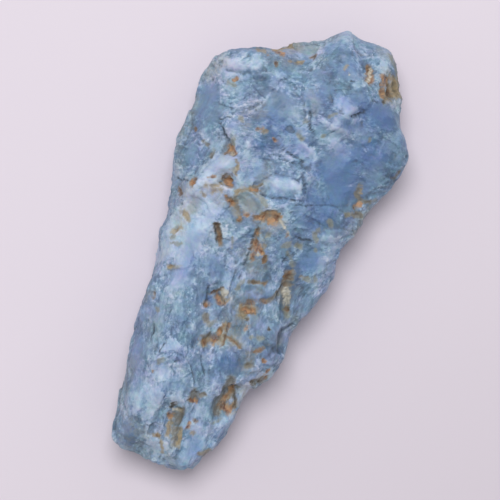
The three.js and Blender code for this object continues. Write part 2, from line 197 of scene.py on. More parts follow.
        [(-17.4, 21.6, 3.4), (-17.4, 15.0, 3.2), (-16.2, 9.0, 3.0)], [(3.0, 12.0, 2.5)], [(4.6, 9.0, 3.4)],
        [(11.0, 4.0, 3.2), (11.2, 0.6, 2.6)], [(-3.2, 2.2, 2.5)],
        [(8.5, 2.0, 3.0), (10.0, -6.0, 4.0), (6.0, -12.0, 4.0)], [(3.0, 0.0, 2.5)],
        [(12.4, -2.6, 2.2), (13.2, -6.0, 2.6)], [(6.2, -5.8, 3.0), (8.2, -7.0, 2.0)],
        [(-3.6, -7.6, 2.2), (-3.8, -12.0, 2.4), (-4.2, -17.0, 2.4)], [(6.0, -8.0, 2.5)],
        [(-5.9, -8.6, 1.6)], [(-12.5, -13.0, 2.0)],
        [(-11.4, -18.4, 1.0), (-9.4, -28.0, 1.6), (-7.6, -35.4, 1.2), (-6.6, -38.4, 1.2)],
        [(-8.6, -24.6, 2.6), (-5.4, -26.0, 1.6)], [(-7.2, -39.0, 2.0), (-1.0, -41.8, 1.6)],
        [(-6.2, -40.0, 3.0), (-3.0, -39.4, 3.0)], [(-3.4, -40.6, 2.0)],
    ],
    -0.55: [
        [(5.6, 41.2, 2.2), (8.0, 41.0, 2.2)], [(9.0, 34.2, 2.4), (12.6, 34.6, 1.6)], [(1.4, 4.6, 3.0)],
        [(9.2, -13.2, 2.6), (13.2, -14.6, 2.4)],
    ],
    -0.6: [
        [(12.0, 31.6, 3.4), (14.6, 31.4, 3.0)], [(11.4, 28.4, 2.6), (14.0, 26.6, 2.0)],
        [(18.0, 27.2, 3.0), (14.0, 26.5, 3.0)], [(12.6, 23.0, 3.4), (9.0, 19.6, 4.6), (12.0, 16.4, 5.0)],
        # painted shade beside two steps
        [(-6.0, 22.6, 0.8), (-4.6, 20.4, 0.9)], [(-5.0, 17.4, 1.2), (-3.4, 18.2, 1.4)],
        # painted shade along the ledge at the pale lump's upper left rim
        [(-3.4, 11.6, 0.6), (-2.0, 13.2, 0.6), (-0.2, 14.4, 0.6), (3.2, 15.0, 0.5)],
        [(7.4, 5.2, 0.6), (10.2, 5.2, 0.6)], [(-3.5, -7.0, 5.0)], [(12.8, -8.0, 3.0)],
        [(-1.0, -12.4, 3.0), (3.6, -13.0, 3.0), (5.2, -15.4, 2.4)], [(2.0, -13.0, 2.5), (5.0, -14.0, 2.5)],
        [(-7.5, -13.0, 3.0)], [(8.6, -19.6, 1.8), (6.6, -21.8, 2.2), (4.6, -20.0, 1.2)],
        [(1.4, -35.0, 2.2)],
    ],
    -0.7: [
        # the second stroke is a painted cast shadow over the wide end's left rim
        [(8.4, 34.0, 1.2), (9.4, 31.0, 1.8)], [(-17.5, 31.2, 2.2), (-13.5, 33.0, 2.2)],
        # painted shade beside the curved step
        [(-0.6, 28.0, 0.6), (0.7, 26.0, 0.8), (1.5, 24.2, 0.6)],
        # the last stroke is painted shade
        [(19.4, 25.0, 1.8), (19.0, 21.6, 1.8), (18.2, 18.6, 1.4)], [(-8.4, 21.2, 0.8), (-7.4, 21.4, 0.9)],
        [(9.5, 11.5, 3.0), (13.0, 8.0, 3.0)], [(3.5, -25.0, 4.0), (5.0, -22.5, 3.0)],
        [(-6.0, -38.6, 1.8), (-4.4, -37.2, 2.0)],
    ],
    -0.75: [[(-14.6, 17.8, 3.0), (-13.0, 15.2, 2.6)]],
    -0.8: [
        [(18.8, 26.2, 1.6), (17.0, 23.6, 3.2), (18.6, 21.4, 2.0)], [(-19.6, 13.6, 2.0)],
        [(-3.5, 4.0, 3.0), (3.0, 2.0, 2.5)], [(5.7, -4.5, 0.6), (6.0, -3.7, 0.6)], [(2.8, -11.2, 0.8)],
        [(-2.0, -11.8, 0.8)], [(-12.8, -12.6, 2.0), (-12.2, -17.4, 2.4)], [(9.4, -28.6, 2.0)],
    ],
    -0.85: [[(14.6, 24.2, 3.4)]],
    -0.9: [
        [(1.5, 38.0, 4.0), (3.0, 33.0, 5.0), (3.5, 29.0, 5.0)],
        # the first stroke is painted shade in the groove under the pale lobe
        [(-12.6, 28.3, 0.9), (-9.8, 28.5, 1.5), (-7.8, 27.7, 1.0)], [(-4.0, 19.5, 3.0)],
        # painted shade beside a step and along the pale lump's rim
        [(1.2, 16.6, 0.9), (3.0, 17.0, 1.4)], [(4.6, 15.5, 0.6), (5.4, 14.2, 0.6), (6.0, 12.6, 0.5)],
        [(4.1, -39.8, 0.6), (5.0, -38.5, 1.0)],
    ],
    -1.0: [
        [(14.0, 29.5, 3.5)], [(15.6, 23.0, 4.0), (15.0, 17.0, 4.0), (13.5, 10.0, 4.0)], [(3.0, 22.2, 2.5)],
        # the first stroke is painted shade in the notch
        [(12.9, -12.4, 1.2), (13.2, -14.8, 1.8)], [(-4.0, -40.0, 3.0)],
    ],
    -1.1: [
        [(-10.0, 25.6, 4.0), (-5.0, 25.4, 4.0)],
        [(13.0, -13.5, 3.0), (10.5, -16.0, 4.0), (7.0, -21.0, 4.0)],
    ],
    -1.5: [[(10.0, -0.5, 3.0), (10.5, -3.0, 2.5)]],
}

# Stains by colour. On the walls of a few pits, some brown and umber strokes are partly painted shade, and two
# cream strokes are painted highlights.
STAINS = {
    "umber": [
        [(12.0, 38.6, 0.7), (13.7, 36.9, 0.8), (13.6, 35.6, 0.6)], [(12.4, 38.0, 0.6), (13.0, 37.0, 0.6)],
        [(19.5, 23.6, 0.1), (19.2, 21.8, 0.2)], [(14.2, 18.4, 0.4), (14.4, 16.6, 0.5), (15.3, 15.8, 0.5)],
        [(15.5, 15.8, 0.3), (17.3, 16.4, 0.4), (18.0, 17.0, 0.3)],
        [(-14.8, 13.7, 0.15), (-13.4, 13.3, 0.25)],
        [(14.6, 12.6, 0.6), (15.8, 13.3, 0.8), (16.6, 13.4, 0.8)],
        [(-12.3, 13.2, 0.2), (-12.4, 11.4, 0.15)], [(-3.4, 9.8, 0.3), (-2.7, 10.3, 0.3), (-1.9, 11.2, 0.1)],
        [(-5.3, 7.8, 0.4), (-4.6, 5.4, 0.8), (-3.6, 4.2, 0.9), (-2.9, 3.4, 0.6)],
        [(-6.1, 0.9, 0.7), (-5.2, -0.4, 0.8), (-4.4, -1.6, 0.4), (-3.8, -2.0, 0.2)],
        [(3.3, 0.9, 0.7), (4.4, -1.0, 0.7)], [(11.4, -1.1, 0.2), (12.6, -0.6, 0.2)],
        [(9.6, -1.3, 1.0), (9.8, -3.2, 1.4), (9.6, -4.6, 0.9)],
        [(3.5, -5.9, 0.4), (4.8, -5.4, 0.5), (6.3, -4.8, 0.4)], [(9.2, -5.6, 0.7), (8.2, -7.5, 0.5)],
        [(-1.1, -14.6, 0.6), (-0.4, -15.5, 0.7)], [(4.6, -16.4, 0.6), (6.8, -17.2, 0.6)],
        [(0.3, -18.2, 0.9), (1.1, -17.5, 0.7)], [(9.5, -19.6, 0.4), (10.6, -19.0, 0.3)],
        [(11.9, -22.0, 0.8), (12.8, -21.2, 1.1), (13.6, -20.2, 0.5)],
        # partly painted shade down the big pit's left wall, partly a brown halo
        [(8.0, -23.2, 1.2), (7.7, -26.2, 1.3), (7.8, -28.4, 1.3), (8.4, -29.6, 1.0)],
        [(3.6, -28.3, 0.4), (4.7, -27.7, 0.4)], [(2.7, -28.0, 0.9), (3.2, -28.9, 1.2), (2.8, -29.6, 0.6)],
        [(2.4, -31.9, 0.9), (1.8, -33.5, 1.5), (2.3, -34.4, 1.2)],
        [(2.4, -34.6, 0.8), (3.1, -36.2, 1.4), (3.9, -38.2, 0.8)],
    ],
    "olive": [
        [(9.4, 41.8, 0.4), (11.2, 40.4, 0.3), (12.8, 38.6, 0.4)], [(3.9, 27.2, 0.3), (4.8, 28.1, 0.1)],
        [(12.3, 26.5, 0.5)], [(-15.4, 25.1, 0.4), (-14.2, 25.1, 0.4)], [(0.5, 24.7, 0.6)],
        [(4.4, 23.4, 0.5)], [(0.0, 22.1, 0.5), (1.1, 21.6, 0.7)], [(-10.3, 20.2, 0.7)],
        [(-10.1, 16.9, 0.3), (-9.8, 15.6, 0.5)], [(14.4, 12.5, 0.8)],
        [(-7.9, 10.9, 0.5), (-7.3, 11.8, 0.4)], [(11.9, 10.2, 0.6), (12.6, 9.6, 0.7)],
        [(-2.2, 9.2, 0.7), (-0.4, 8.4, 0.6), (0.6, 7.9, 0.4)],
        [(10.9, 8.0, 0.5), (10.6, 7.0, 0.6), (11.3, 6.0, 0.5)], [(11.9, 4.3, 0.5)], [(8.8, 3.8, 0.9)],
        [(7.2, 3.2, 0.7), (6.4, 2.6, 0.5)], [(3.1, 3.2, 0.8)],
        [(7.7, 1.8, 0.5), (8.4, 1.2, 0.6), (9.2, 0.3, 0.5)], [(-2.7, 0.2, 0.2), (-1.9, -1.6, 0.2)],
        [(12.2, -1.2, 0.5), (14.0, -0.5, 0.5)], [(12.9, -1.0, 0.6), (14.3, -0.6, 0.4)],
        [(-12.4, -4.2, 0.7)], [(-12.1, -5.4, 0.3), (-10.8, -4.8, 0.3)],
        [(2.4, -6.2, 0.5), (2.3, -7.8, 0.5)], [(11.6, -7.2, 0.8), (12.2, -8.4, 0.8)],
        [(-10.6, -9.8, 0.4), (-9.6, -9.1, 0.2), (-8.6, -8.4, 0.1)], [(5.4, -11.8, 1.2), (4.6, -12.2, 0.9)],
        [(9.3, -14.3, 0.6), (9.7, -14.2, 0.5)], [(8.1, -14.8, 0.5)], [(0.1, -16.0, 0.6), (0.9, -14.8, 0.7)],
        [(-9.3, -17.3, 0.4)], [(9.7, -23.8, 0.8)], [(-5.3, -25.8, 0.5), (-4.8, -25.2, 0.3)],
        [(8.2, -31.8, 0.2), (9.4, -30.3, 0.1)],
    ],
    "tan": [
        [(11.7, 37.8, 2.0), (12.6, 36.4, 2.6), (11.8, 35.2, 2.0)], [(2.8, 36.0, 0.2), (3.0, 36.9, 0.3)],
        [(-10.2, 34.2, 0.7), (-7.6, 35.9, 0.6)], [(-6.9, 33.3, 0.3), (-4.6, 34.0, 0.3)],
        [(-12.7, 32.9, 0.4), (-11.8, 33.1, 0.3)], [(-5.6, 19.9, 0.4), (-5.2, 20.1, 0.4)],
        [(14.7, 18.3, 0.15), (15.1, 17.2, 0.15)], [(-8.1, 13.2, 0.2), (-7.2, 12.2, 0.2), (-6.9, 10.4, 0.1)],
        [(-5.2, 8.0, 0.5), (-4.2, 8.9, 0.6), (-3.0, 9.4, 0.6)],
        [(-10.9, 6.6, 0.5), (-9.6, 7.3, 0.6), (-8.4, 7.9, 0.4)], [(-9.3, 6.2, 0.5), (-8.2, 6.7, 0.5)],
        [(0.6, 6.0, 1.2), (2.6, 6.6, 1.8)], [(-11.2, 5.4, 0.3), (-10.6, 4.9, 0.4)],
        [(-12.6, 0.4, 0.5), (-11.6, 0.1, 0.8), (-11.2, -0.3, 0.5)],
        [(-12.7, -3.2, 0.9), (-12.3, -2.5, 1.0)], [(-10.7, -9.4, 0.4), (-10.2, -8.9, 0.3)],
        [(4.4, -10.7, 1.2), (6.2, -10.0, 1.5)], [(0.4, -10.4, 1.2), (1.1, -10.6, 0.8)], [(4.7, -11.5, 1.3)],
        [(2.8, -14.8, 0.6), (3.2, -16.6, 1.0), (3.2, -18.0, 0.8)], [(0.6, -19.3, 1.2), (1.8, -18.7, 1.6)],
        [(8.9, -25.2, 1.0), (9.2, -27.0, 1.8)], [(1.7, -32.4, 0.5)],
        [(3.2, -34.8, 0.2), (4.1, -36.6, 0.4), (4.3, -38.2, 0.4)], [(5.8, -34.8, 0.5)],
        [(1.2, -35.0, 0.5), (1.5, -36.0, 0.5), (1.8, -37.2, 0.4)],
        [(8.8, -37.6, 0.6), (9.3, -37.0, 0.5), (9.8, -36.4, 0.3)],
        [(-0.5, -38.2, 0.2), (0.5, -37.9, 0.3), (1.3, -38.4, 0.2), (2.3, -40.2, 0.2)],
    ],
    "brown": [
        [(6.4, 38.6, 0.2), (7.0, 37.2, 0.4)], [(11.2, 36.6, 0.4), (12.2, 35.6, 0.5), (12.4, 34.8, 0.4)],
        [(-3.6, 35.6, 0.5), (-3.0, 36.4, 0.5)], [(-9.1, 32.0, 0.4), (-8.8, 31.9, 0.4)],
        # the second stroke is partly painted shade on a pit's upper left wall
        [(-17.1, 15.1, 0.15), (-16.9, 14.7, 0.15)], [(-10.1, 14.9, 0.4), (-10.3, 13.6, 0.5)],
        # the middle stroke is partly painted shade above a pit
        [(14.8, 14.4, 0.4), (15.3, 14.2, 0.3)], [(-7.6, 10.0, 0.5)], [(-2.5, 9.4, 0.7), (-2.4, 10.0, 0.4)],
        # the first stroke is partly painted shade on a pit's upper left wall
        [(-8.5, 9.4, 0.7), (-7.5, 9.1, 0.9)], [(0.6, 6.7, 0.2), (2.2, 7.5, 0.2), (3.2, 7.5, 0.2)],
        [(-13.2, 7.1, 0.4), (-13.5, 5.8, 0.7)], [(-6.8, 6.4, 0.3), (-5.8, 6.2, 0.6), (-5.0, 5.4, 0.4)],
        [(-0.6, 5.2, 0.5), (0.2, 5.2, 0.5), (2.2, 5.5, 0.2)], [(-15.0, 4.0, 0.3), (-14.6, 3.2, 0.4)],
        [(0.9, 3.4, 0.2), (1.2, 2.2, 0.6), (1.3, 0.8, 0.7)], [(-6.4, 1.1, 0.2), (-5.7, 1.2, 0.2)],
        [(1.4, 0.9, 0.5), (1.0, -0.8, 0.5)], [(-5.9, 0.9, 0.4), (-4.9, -0.8, 0.5), (-4.1, -1.8, 0.3)],
        [(3.2, 0.0, 0.4), (4.1, -0.5, 0.6), (4.4, -1.6, 0.3)], [(9.3, -1.4, 0.8), (9.7, -3.2, 0.9)],
        [(6.0, -5.1, 0.6)], [(3.8, -5.8, 0.2), (5.2, -5.3, 0.2)], [(11.7, -7.4, 0.7)],
        [(4.2, -9.8, 0.4), (5.4, -9.2, 0.7), (6.6, -8.6, 0.9), (7.8, -8.0, 0.4)],
        [(-0.4, -9.0, 0.2), (-1.2, -10.1, 0.5), (-2.0, -11.0, 0.3)], [(-1.9, -12.9, 0.6)],
        [(3.3, -14.2, 0.5), (3.5, -15.6, 0.4), (3.8, -17.3, 0.2), (3.8, -18.5, 0.1)],
        [(-11.2, -14.4, 0.2), (-11.0, -15.5, 0.3)], [(2.6, -15.0, 0.1), (2.4, -16.4, 0.3)],
        [(9.5, -17.2, 0.4), (10.8, -15.5, 0.3)], [(3.9, -16.4, 0.2), (5.6, -16.8, 0.2), (7.1, -17.4, 0.1)],
        [(5.4, -32.7, 0.4)], [(-0.3, -38.2, 0.1), (0.7, -38.0, 0.1)],
    ],
    "rust": [
        [(6.8, 38.2, 0.5), (7.3, 37.2, 1.0), (7.8, 36.2, 1.1)],
        [(9.8, 37.8, 0.7), (10.4, 37.4, 0.9), (10.7, 36.0, 0.6), (11.0, 34.8, 0.6)],
        [(-10.0, 33.7, 0.2), (-8.2, 33.9, 0.3)], [(-10.9, 32.7, 0.2)],
        [(-14.5, 25.8, 0.2), (-14.1, 26.5, 0.2)], [(-6.8, 19.9, 0.5), (-6.2, 20.1, 0.6)],
        [(-2.9, 19.4, 0.4)], [(15.2, 14.9, 0.5), (15.8, 15.2, 0.4)], [(-9.7, 14.2, 1.0), (-8.9, 14.2, 0.8)],
        [(-3.0, 9.5, 0.4), (-2.2, 9.9, 0.4)], [(-7.5, 8.9, 0.9), (-6.7, 8.2, 0.9)],
        [(-11.3, 8.1, 0.3), (-10.2, 8.6, 0.2)], [(0.0, 5.2, 0.6), (1.4, 5.7, 1.3), (2.9, 6.4, 1.6)],
        [(-13.5, 6.2, 0.2), (-13.7, 5.6, 0.2)], [(-6.8, 6.0, 0.4), (-5.3, 5.7, 0.8)],
        [(-2.4, 5.0, 0.4), (-1.8, 5.0, 0.4)], [(6.2, 4.7, 0.4)], [(-2.9, 3.6, 0.4)],
        [(0.9, 3.2, 0.3), (1.4, 1.2, 0.6), (1.8, -0.4, 1.2), (2.4, -2.0, 0.7)],
        [(2.2, 0.6, 0.4), (3.6, -0.3, 0.5)], [(4.9, -10.7, 0.8), (6.3, -10.3, 0.8)],
        [(-0.8, -10.8, 0.6), (0.2, -11.5, 0.6), (1.1, -11.4, 0.5)],
        [(-1.8, -12.8, 0.7), (-1.1, -12.7, 0.4)], [(4.5, -13.2, 0.5)],
        [(6.8, -13.4, 0.4), (6.4, -14.0, 0.4)], [(2.4, -16.2, 0.6), (2.2, -17.8, 1.0), (2.3, -18.8, 0.6)],
        [(11.9, -17.7, 0.4)], [(13.3, -18.8, 0.3), (13.4, -20.2, 0.3)], [(0.9, -19.0, 0.9)],
        [(8.7, -24.0, 0.4), (8.6, -25.2, 0.4), (8.3, -26.6, 0.4), (8.7, -28.2, 1.0), (9.9, -28.4, 1.1)],
        [(10.3, -26.8, 0.5), (10.2, -28.0, 0.9)], [(-5.5, -27.9, 0.15)],
        [(3.1, -29.7, 0.4), (4.0, -29.3, 0.3)], [(0.4, -33.5, 0.5), (1.0, -33.8, 0.5)],
        [(4.5, -34.4, 0.4), (4.6, -33.6, 0.3)],
    ],
    "cream": [
        # the first stroke and the last are painted highlights on stained pits
        [(7.0, 38.4, 0.15), (7.3, 37.2, 0.25), (7.6, 36.1, 0.1)], [(4.1, 35.7, 0.1)], [(-9.3, 13.8, 0.5)],
        [(-7.5, 11.8, 0.1), (-7.3, 11.0, 0.1)], [(3.7, 6.3, 0.4), (4.3, 6.3, 0.3)],
        [(4.5, 6.2, 0.15), (5.6, 5.5, 0.15), (6.8, 4.4, 0.1)], [(2.9, -0.9, 0.3)],
        [(10.3, -4.6, 1.0), (10.7, -5.5, 0.9), (11.4, -6.6, 0.7)], [(-0.1, -9.4, 0.6), (0.8, -9.5, 0.7)],
        [(9.0, -26.9, 0.1)], [(0.8, -32.6, 0.15), (1.9, -32.5, 0.1)],
    ],
    # near-black marks in slits, along cracks and at a broken edge
    "soot": [
        [(12.0, 37.4, 0.5)], [(12.9, 36.4, 0.3)], [(12.6, 35.0, 0.3)], [(11.7, 33.8, 0.4)],
        [(0.9, -11.1, 0.2)], [(10.2, -12.0, 0.3)], [(6.0, -12.2, 0.3)], [(12.9, -21.4, 0.3)],
        [(11.8, -22.2, 0.6)], [(9.6, -25.4, 0.15), (10.2, -26.4, 0.25), (10.5, -27.4, 0.35)],
        [(0.3, -32.1, 0.3), (0.3, -31.6, 0.3), (0.9, -31.3, 0.2)],
    ],
}

# Clear places where one looks into the stone, greyer and greener than the rest. In the notch, the same grey-green
# is painted shade.
WINDOWS = [
    [(-8.0, 36.0, 0.8), (-5.0, 36.6, 2.2), (-3.8, 37.2, 1.4)], [(0.6, 28.6, 1.6), (1.2, 26.6, 1.4)],
    [(-3.6, 7.6, 2.2), (-2.6, 6.6, 2.8), (-0.8, 6.8, 2.0)], [(-11.2, 3.8, 1.9), (-11.2, 1.9, 2.2)],
    # the second stroke is painted shade in the notch
    [(13.7, -8.4, 0.9)], [(12.6, -11.6, 0.8), (12.9, -13.6, 1.4)],
]

# Places where the blue is purer, towards navy.
NAVIES = [
    [(3.0, 36.0, 3.0)], [(9.0, 31.0, 5.0), (13.0, 30.0, 4.0)], [(5.0, 30.4, 2.0), (8.6, 29.0, 2.2)],
    [(-1.0, 28.5, 2.5)], [(7.0, 26.5, 3.0)],
    [(14.0, 25.0, 5.0), (10.0, 21.0, 7.0), (9.5, 17.0, 8.0), (9.0, 10.0, 6.0)],
    [(-6.0, 22.0, 4.0), (1.0, 20.0, 5.0)], [(-5.0, 17.5, 3.0)], [(12.0, 2.0, 4.0)],
    [(-8.0, -9.0, 3.0), (-8.5, -3.0, 3.0)], [(-1.5, -12.0, 2.0)], [(6.0, -20.5, 3.0)], [(-2.6, -31.0, 3.0)],
    [(7.0, -37.0, 4.0)],
]

# Places where the blue leans to lavender.
LAVENDERS = [
    [(-10.5, 11.0, 3.0), (-8.5, 12.5, 3.0)], [(14.0, 7.5, 2.5)],
    [(-7.5, 3.0, 2.0), (-8.5, -3.0, 3.0), (-8.5, -12.0, 3.0)], [(5.0, -7.5, 2.0)], [(12.5, -12.5, 3.0)],
    [(8.8, -12.5, 2.0)], [(-9.5, -25.0, 2.0), (-8.5, -30.0, 2.0)], [(3.0, -38.0, 2.0)],
    [(-5.5, -38.5, 3.0)],
]

# Broad, thin washes of iron that only dull the blue, by how strong they are.
HAZES = {
    1.4: [[(-9.6, 34.6, 2.0), (-7.0, 36.2, 2.0)]],
    1.3: [[(1.6, 5.6, 2.4), (4.4, 6.0, 1.6)]],
    1.2: [
        [(17.6, 15.0, 1.2), (17.0, 10.0, 1.2)], [(-5.0, 8.8, 1.2), (-3.2, 9.4, 1.4), (-1.6, 9.0, 1.4)],
        [(-11.0, 6.4, 1.6), (-8.4, 7.0, 1.4)], [(-5.0, 5.8, 1.2), (-3.6, 4.4, 1.2)], [(5.8, -6.6, 1.4)],
        [(4.2, -12.6, 1.6)], [(3.5, -16.2, 2.5), (6.0, -16.6, 2.5)],
        [(9.0, -17.4, 1.6), (10.0, -20.4, 1.6)], [(10.9, -24.0, 1.5), (11.2, -27.5, 2.0)],
        [(2.0, -35.6, 1.6)],
    ],
    1.1: [[(10.6, -5.6, 2.4)]],
    1.0: [
        [(-5.0, 38.2, 1.2), (-1.0, 41.0, 1.2)], [(10.0, 38.0, 3.0), (12.5, 35.5, 4.0)],
        [(-19.0, 25.0, 2.5), (-18.0, 28.5, 2.5)], [(-2.2, 14.5, 1.4), (-1.8, 10.5, 2.0)],
        [(-10.0, 14.0, 1.8)], [(0.5, 5.0, 2.5), (3.0, 4.8, 2.5)], [(-12.8, 1.0, 2.0), (-12.0, -2.5, 2.0)],
    ],
    0.9: [
        [(-7.2, 23.8, 0.9), (-6.8, 22.8, 0.9)], [(-9.8, 20.0, 1.4), (-8.8, 19.4, 1.2)],
        [(0.2, 6.2, 1.5), (1.2, 4.0, 2.0), (3.0, 1.5, 2.0)], [(-4.5, -42.0, 1.2), (2.0, -42.2, 1.2)],
    ],
    0.8: [
        [(7.0, 42.0, 1.5), (9.5, 41.4, 1.5)], [(-1.0, 30.0, 1.5), (-0.6, 29.0, 1.2)],
        [(-9.5, 22.5, 3.0), (-7.5, 22.8, 3.0)], [(-19.5, 20.0, 2.5), (-19.0, 13.0, 2.5)],
        [(-18.6, 12.4, 1.2), (-18.2, 10.0, 1.0)], [(-3.8, 9.4, 2.0), (-1.6, 9.2, 2.0)],
        [(-9.0, 8.0, 3.0), (-7.5, 5.5, 3.0)], [(3.6, 6.2, 2.4)], [(1.0, -1.0, 3.0), (3.5, -3.0, 4.0)],
        [(6.5, -11.0, 2.5), (5.5, -13.0, 2.5)], [(-12.2, -14.5, 1.5), (-12.0, -17.0, 1.5)],
        [(-5.0, -38.0, 3.0), (-2.0, -38.8, 3.0)],
    ],
    0.7: [
        [(-10.5, 15.0, 2.0), (-10.0, 12.5, 2.0)], [(17.0, 14.0, 2.5), (16.5, 10.0, 2.5)],
        [(-5.0, 9.0, 3.0), (-3.5, 6.0, 5.0), (0.0, 6.8, 3.0)], [(-14.0, 5.0, 3.5), (-12.5, 1.0, 4.0)],
        [(3.5, -10.0, 5.0), (4.0, -16.0, 5.0)],
    ],
    0.6: [
        [(-11.0, 32.5, 3.0), (-6.0, 33.5, 3.0)], [(-16.5, 31.5, 2.0)], [(3.5, -1.8, 3.0)],
        [(12.0, -3.5, 2.5)],
        [(-10.0, -28.0, 3.0), (-8.5, -36.0, 3.0), (-5.0, -41.0, 3.0), (4.0, -41.5, 3.0)],
        [(0.5, -36.0, 4.0)],
    ],
    0.5: [[(-11.5, 16.5, 3.0), (-9.0, 13.0, 3.0)]],
    0.4: [
        [(-1.5, 36.0, 3.0)], [(-17.5, 9.0, 2.0), (-16.0, 6.0, 3.0)],
        [(-13.0, -4.0, 2.0), (-12.0, -14.0, 2.0)],
        [(13.5, -6.0, 3.0), (12.5, -15.0, 4.0), (11.5, -22.0, 3.0)],
        [(-11.5, -18.0, 3.0), (-7.0, -23.0, 4.0)],
    ],
    0.3: [[(19.4, 22.0, 2.0)]],
}

# Dark hairline cracks; those along the ledges are partly painted shade below the step.
CRACKS = [
    [(4.8, 34.8, 0.3), (5.3, 35.0, 0.3)], [(10.9, 33.1, 0.3), (9.9, 33.2, 0.3)],
    [(8.0, 28.8, 0.4), (9.0, 29.8, 0.4), (9.6, 30.5, 0.3)],
    [(0.3, 26.4, 0.3), (0.9, 25.6, 0.4), (1.6, 24.0, 0.3), (2.4, 23.6, 0.2)],
    # partly painted shade below a small step
    [(-11.8, 19.9, 0.2), (-13.1, 19.2, 0.25), (-14.0, 18.4, 0.2)],
    [(-0.2, 18.2, 0.2), (1.6, 18.2, 0.25), (3.4, 17.6, 0.2)],
    [(-13.8, 17.8, 0.25), (-12.8, 17.1, 0.3), (-12.0, 16.1, 0.3), (-10.8, 15.4, 0.25)],
    [(3.8, 15.9, 0.15), (4.9, 15.2, 0.2), (5.8, 13.8, 0.25), (6.1, 13.1, 0.2)],
    # this line and the next are partly painted shade along the ledge beside them
    [(5.2, 10.2, 0.1), (7.2, 10.9, 0.15), (9.0, 12.0, 0.15), (10.6, 12.8, 0.15), (12.8, 13.4, 0.1)],
    [(-1.0, 9.6, 0.3), (0.5, 9.5, 0.25), (1.6, 9.9, 0.25), (3.2, 10.4, 0.3), (6.4, 11.4, 0.3)],
    [(-16.3, 5.6, 0.3), (-15.3, 5.7, 0.35), (-14.2, 6.1, 0.3)],
    [(7.6, 5.0, 0.3), (8.8, 5.2, 0.3), (10.8, 5.5, 0.2)],
    [(0.8, 3.6, 0.25), (0.7, 1.8, 0.3), (1.0, -0.6, 0.3), (1.3, -3.4, 0.3)],
    [(-6.4, 1.2, 0.3), (-5.6, -0.6, 0.3), (-4.8, -1.8, 0.3)], [(9.2, -3.8, 0.3), (9.5, -6.4, 0.3)],
    [(-2.9, -9.6, 0.25), (-2.4, -10.8, 0.3), (-1.9, -12.2, 0.3)],
    [(-9.0, -20.5, 0.25), (-8.5, -21.6, 0.3), (-8.4, -22.8, 0.25)],
    [(1.3, -21.5, 0.2), (2.6, -23.5, 0.25), (3.4, -24.5, 0.2)], [(-5.6, -21.8, 0.2), (-5.8, -24.0, 0.2)],
]

# Smooth places, where a wide chip came off cleanly.
CALMS = [
    [(12.0, 31.6, 3.6), (14.6, 31.4, 3.2)], [(5.0, 30.4, 2.2), (7.2, 30.0, 2.4)],
    [(-5.4, 25.6, 5.0), (-2.8, 24.6, 4.0)], [(-17.4, 22.0, 3.4), (-17.4, 19.0, 3.0)],
    [(9.0, 19.6, 5.5), (12.4, 15.6, 6.0)], [(-0.2, 11.6, 3.0), (2.0, 12.6, 3.6), (4.0, 13.2, 2.6)],
    [(-12.2, 8.6, 2.4), (-9.6, 11.6, 3.4), (-8.4, 12.6, 2.2)], [(13.2, 8.0, 3.0)], [(-2.0, 7.0, 3.0)],
    [(13.2, 2.2, 3.4)], [(-9.0, -1.4, 2.8), (-8.6, -5.4, 2.8)], [(-8.4, -11.6, 2.8)], [(-3.6, -27.2, 2.8)],
    [(-9.0, -27.5, 2.6)], [(6.4, -39.4, 2.6)],
]

# Pits, by how deep they are in millimetres.
PITS = {
    0.6: [
        [(-6.0, 0.9, 0.9), (-5.2, -0.3, 0.8), (-4.4, -1.6, 0.6)],
        [(9.6, -2.0, 1.2), (10.2, -5.0, 1.4), (11.8, -8.0, 1.2)], [(12.2, -21.8, 1.0)],
    ],
    0.5: [
        [(12.2, 36.4, 1.8), (12.0, 35.0, 1.6)], [(-6.6, 6.1, 0.5), (-5.3, 5.7, 0.9)],
        [(-0.9, -10.2, 1.0), (0.6, -11.4, 1.2)], [(4.6, -10.8, 1.2), (6.2, -10.4, 1.2)],
        [(1.0, -18.6, 1.4), (2.3, -17.4, 1.0)],
    ],
    0.45: [[(1.2, -32.2, 1.2), (1.9, -34.0, 1.8)]],
    0.4: [
        [(7.0, 38.0, 0.8), (7.8, 36.2, 1.0)], [(-9.6, 13.9, 1.0), (-8.8, 13.9, 0.9)],
        [(-3.6, 7.4, 2.4), (-1.6, 6.6, 2.4)], [(-13.1, 7.0, 0.5), (-13.2, 6.0, 1.0)],
        [(1.0, 3.0, 0.5), (1.6, 0.6, 1.2), (2.2, -2.0, 0.9)], [(3.0, -7.6, 1.6), (6.0, -6.9, 1.6)],
        [(9.3, -25.2, 1.0), (9.3, -28.0, 1.8)], [(2.9, -35.4, 0.8), (3.8, -38.0, 1.0)],
    ],
    0.35: [[(2.8, -28.6, 1.6)]],
    0.3: [
        [(-14.2, 26.0, 0.8)], [(-6.4, 20.0, 1.0)], [(14.6, 17.4, 0.9), (15.2, 14.6, 1.2)],
        [(10.8, 7.0, 0.9)], [(0.6, 5.6, 0.6), (3.0, 6.4, 1.0)], [(8.8, 3.8, 0.9)], [(-12.5, -2.9, 1.0)],
        [(-10.6, -9.3, 0.9)], [(11.9, -17.7, 0.8)], [(9.6, -19.7, 1.0), (10.6, -19.3, 0.8)],
    ],
    0.25: [[(13.0, -12.4, 1.4), (13.3, -14.6, 2.0)]],
    0.2: [[(-8.0, 9.2, 1.3), (-6.8, 8.6, 1.0)]],
}

